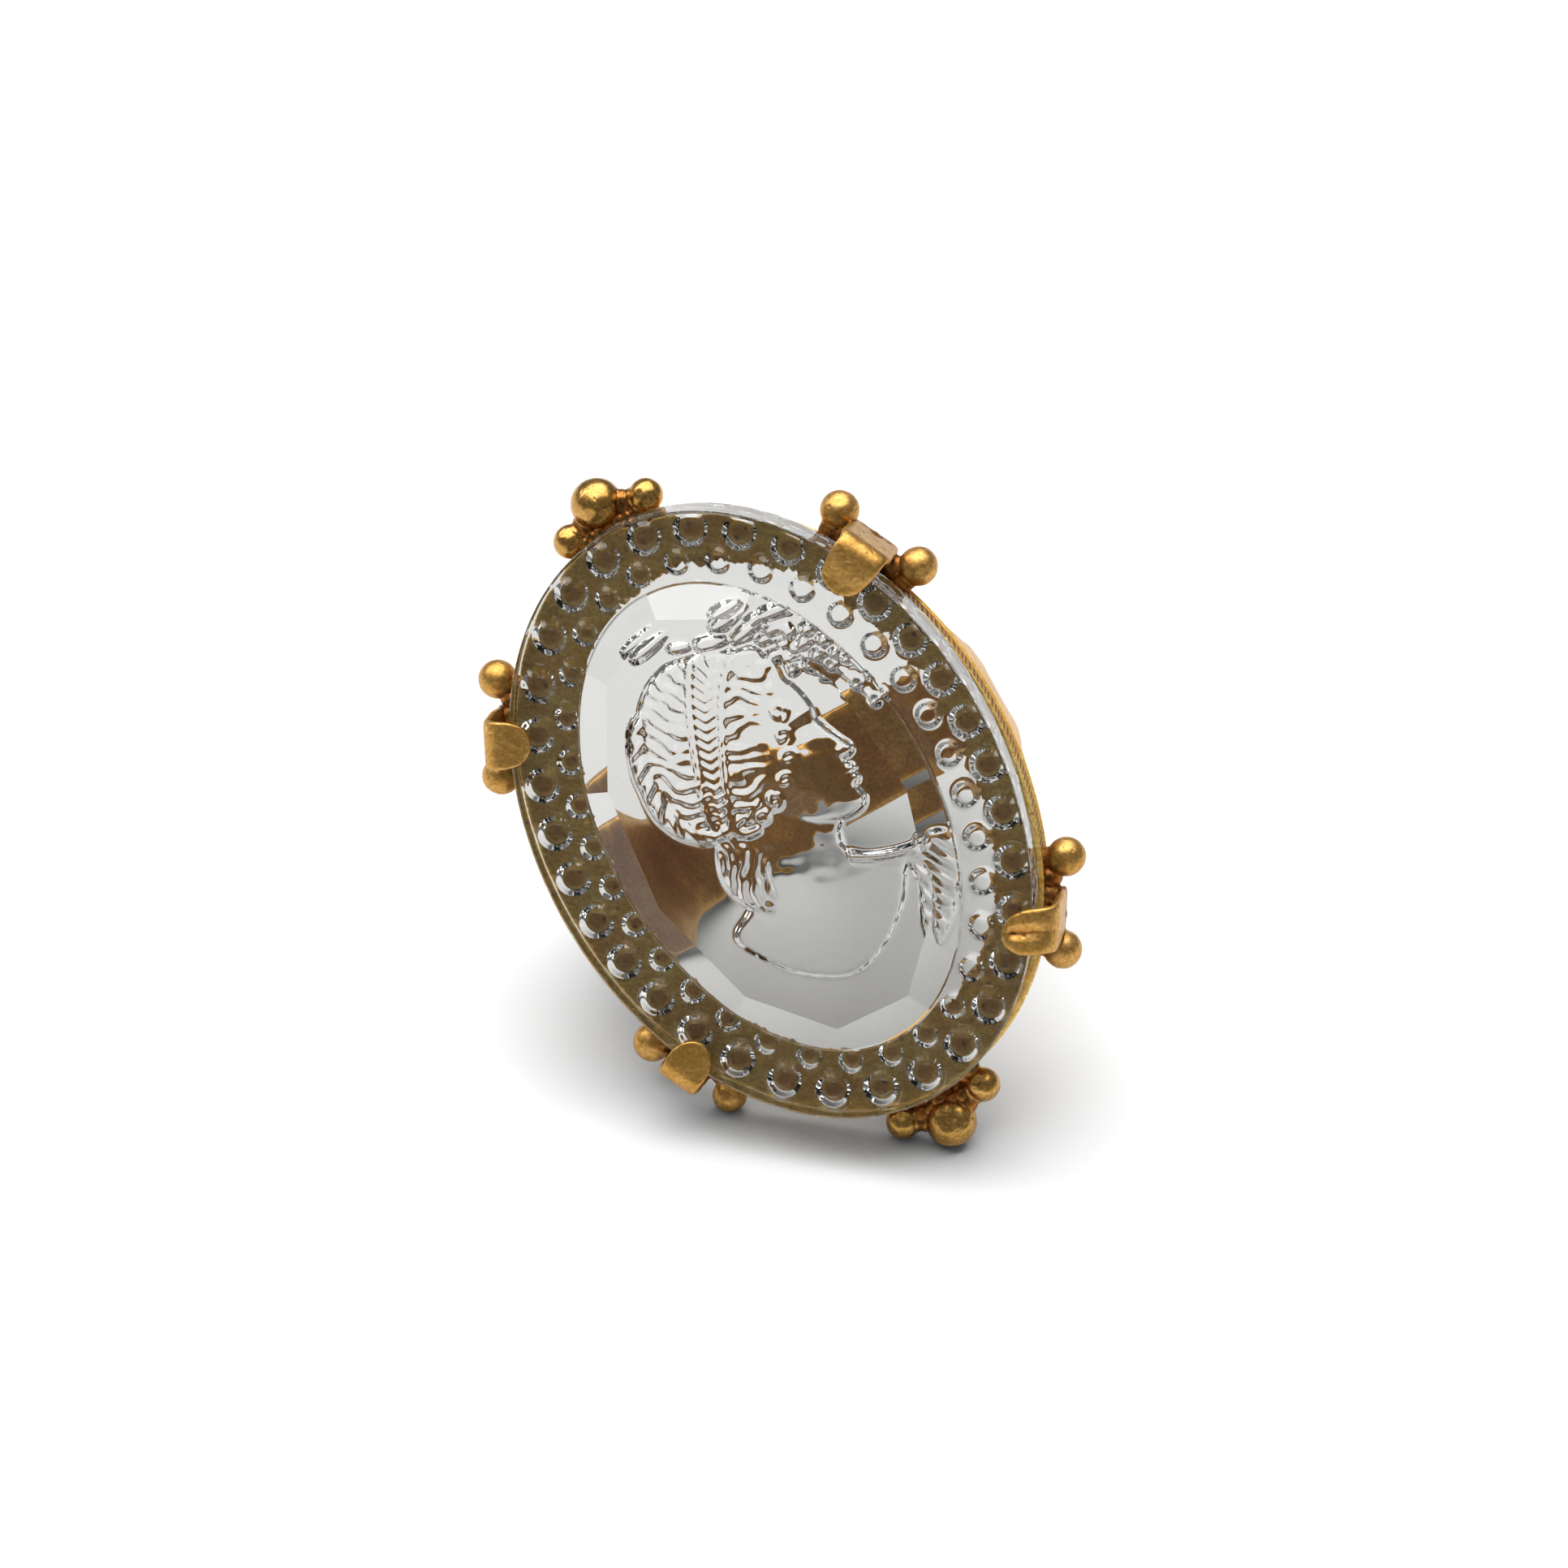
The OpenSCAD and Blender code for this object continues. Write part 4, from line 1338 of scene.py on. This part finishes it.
class RING_OT_stage(bpy.types.Operator):
    """Build the white floor, the soft lights, the world and the camera"""
    bl_idname = "ring.stage"
    bl_label = "Stage"

    def execute(self, context):
        scene = context.scene
        stage = scene.ring_stage
        half = stage.floor / 2
        steps = np.linspace(-half, half, 9)
        x, y = np.meshgrid(steps, steps)
        points = np.stack([x.ravel(), y.ravel(), np.zeros(x.size)], -1)
        index = np.arange(x.size).reshape(x.shape)
        faces = np.stack([index[:-1, :-1], index[:-1, 1:], index[1:, 1:], index[1:, :-1]], -1).reshape(-1, 4)
        mesh = bpy.data.meshes.new("floor")
        mesh.from_pydata(points, [], faces.tolist())
        mesh.materials.append(studio_white("studio_white"))
        floor = linked("floor", mesh)

        world = bpy.data.worlds.new("studio")
        world.use_nodes = True
        sky = world.node_tree.nodes["Background"].inputs
        sky["Color"].default_value = (1, 1, 1, 1)
        sky["Strength"].default_value = 0.23
        scene.world = world
        lit = (0, 0, 0.01)
        softbox("top_softbox", (-0.08, 0.10, 0.52), lit, (0.78, 0.66), 6.2)
        softbox("left_softbox", (-0.50, 0.05, 0.34), lit, (0.16, 0.22), 0.5)
        scene.view_settings.view_transform = "Standard"
        scene.view_settings.look = "None"
        scene.cycles.transmission_bounces = 12
        scene.cycles.max_bounces = 12
        scene.cycles.diffuse_bounces = 3
        scene.cycles.caustics_reflective = False

        a, e = math.radians(CAMERA_AZIMUTH), math.radians(CAMERA_ELEVATION)
        back = Vector((math.sin(a) * math.cos(e), -math.cos(a) * math.cos(e), math.sin(e)))
        roll = Matrix.Rotation(math.radians(CAMERA_ROLL), 3, "Z")
        turn = (-back).to_track_quat("-Z", "Y").to_matrix() @ roll
        right, up = turn.col[0], turn.col[1]
        stone = sizes()[0]
        face = Vector(placed([[0, 0, SEAT_GAP + mm(stone.flange)]])[0])
        aim = face + right * (FRAME_RIGHT * MM) + up * (FRAME_UP * MM)
        camera_data = bpy.data.cameras.new("camera")
        camera_data.sensor_width = SENSOR
        camera_data.lens = SENSOR * stage.camera_far / (FRAME_WIDTH * MM)
        camera_data.clip_start = 0.01
        camera = linked("camera", camera_data)
        camera.matrix_world = Matrix.Translation(aim + back * stage.camera_far) @ turn.to_4x4()
        scene.camera = camera
        return {"FINISHED"}


class RING_PT_panel(bpy.types.Panel):
    """Lists the ring's operators and sizes in the sidebar."""
    bl_idname = "RING_PT_panel"
    bl_label = "Glass intaglio ring"
    bl_space_type = "VIEW_3D"
    bl_region_type = "UI"
    bl_category = "Ring"

    def draw(self, context):
        for operator in OPERATORS:
            self.layout.operator(operator.bl_idname)
        for group in (context.scene.ring_stone, context.scene.ring_metal, context.scene.ring_stage):
            box = self.layout.box()
            for key in group.__annotations__:
                box.prop(group, key)


OPERATORS = (RING_OT_glass, RING_OT_plate, RING_OT_shank, RING_OT_claws, RING_OT_clusters, RING_OT_stage)
GROUPS = {"ring_stone": StoneSizes, "ring_metal": MetalSizes, "ring_stage": StageSizes}
CLASSES = (*GROUPS.values(), *OPERATORS, RING_PT_panel)


def register():
    for cls in CLASSES:
        bpy.utils.register_class(cls)
    for name, group in GROUPS.items():
        setattr(bpy.types.Scene, name, PointerProperty(type=group))


def unregister():
    for name in GROUPS:
        delattr(bpy.types.Scene, name)
    for cls in reversed(CLASSES):
        bpy.utils.unregister_class(cls)


def main():
    """Registers the classes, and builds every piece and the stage."""
    register()
    bpy.ops.ring.glass()
    bpy.ops.ring.plate()
    bpy.ops.ring.shank()
    bpy.ops.ring.claws()
    bpy.ops.ring.clusters()
    bpy.ops.ring.stage()


if __name__ == "__main__":
    main()
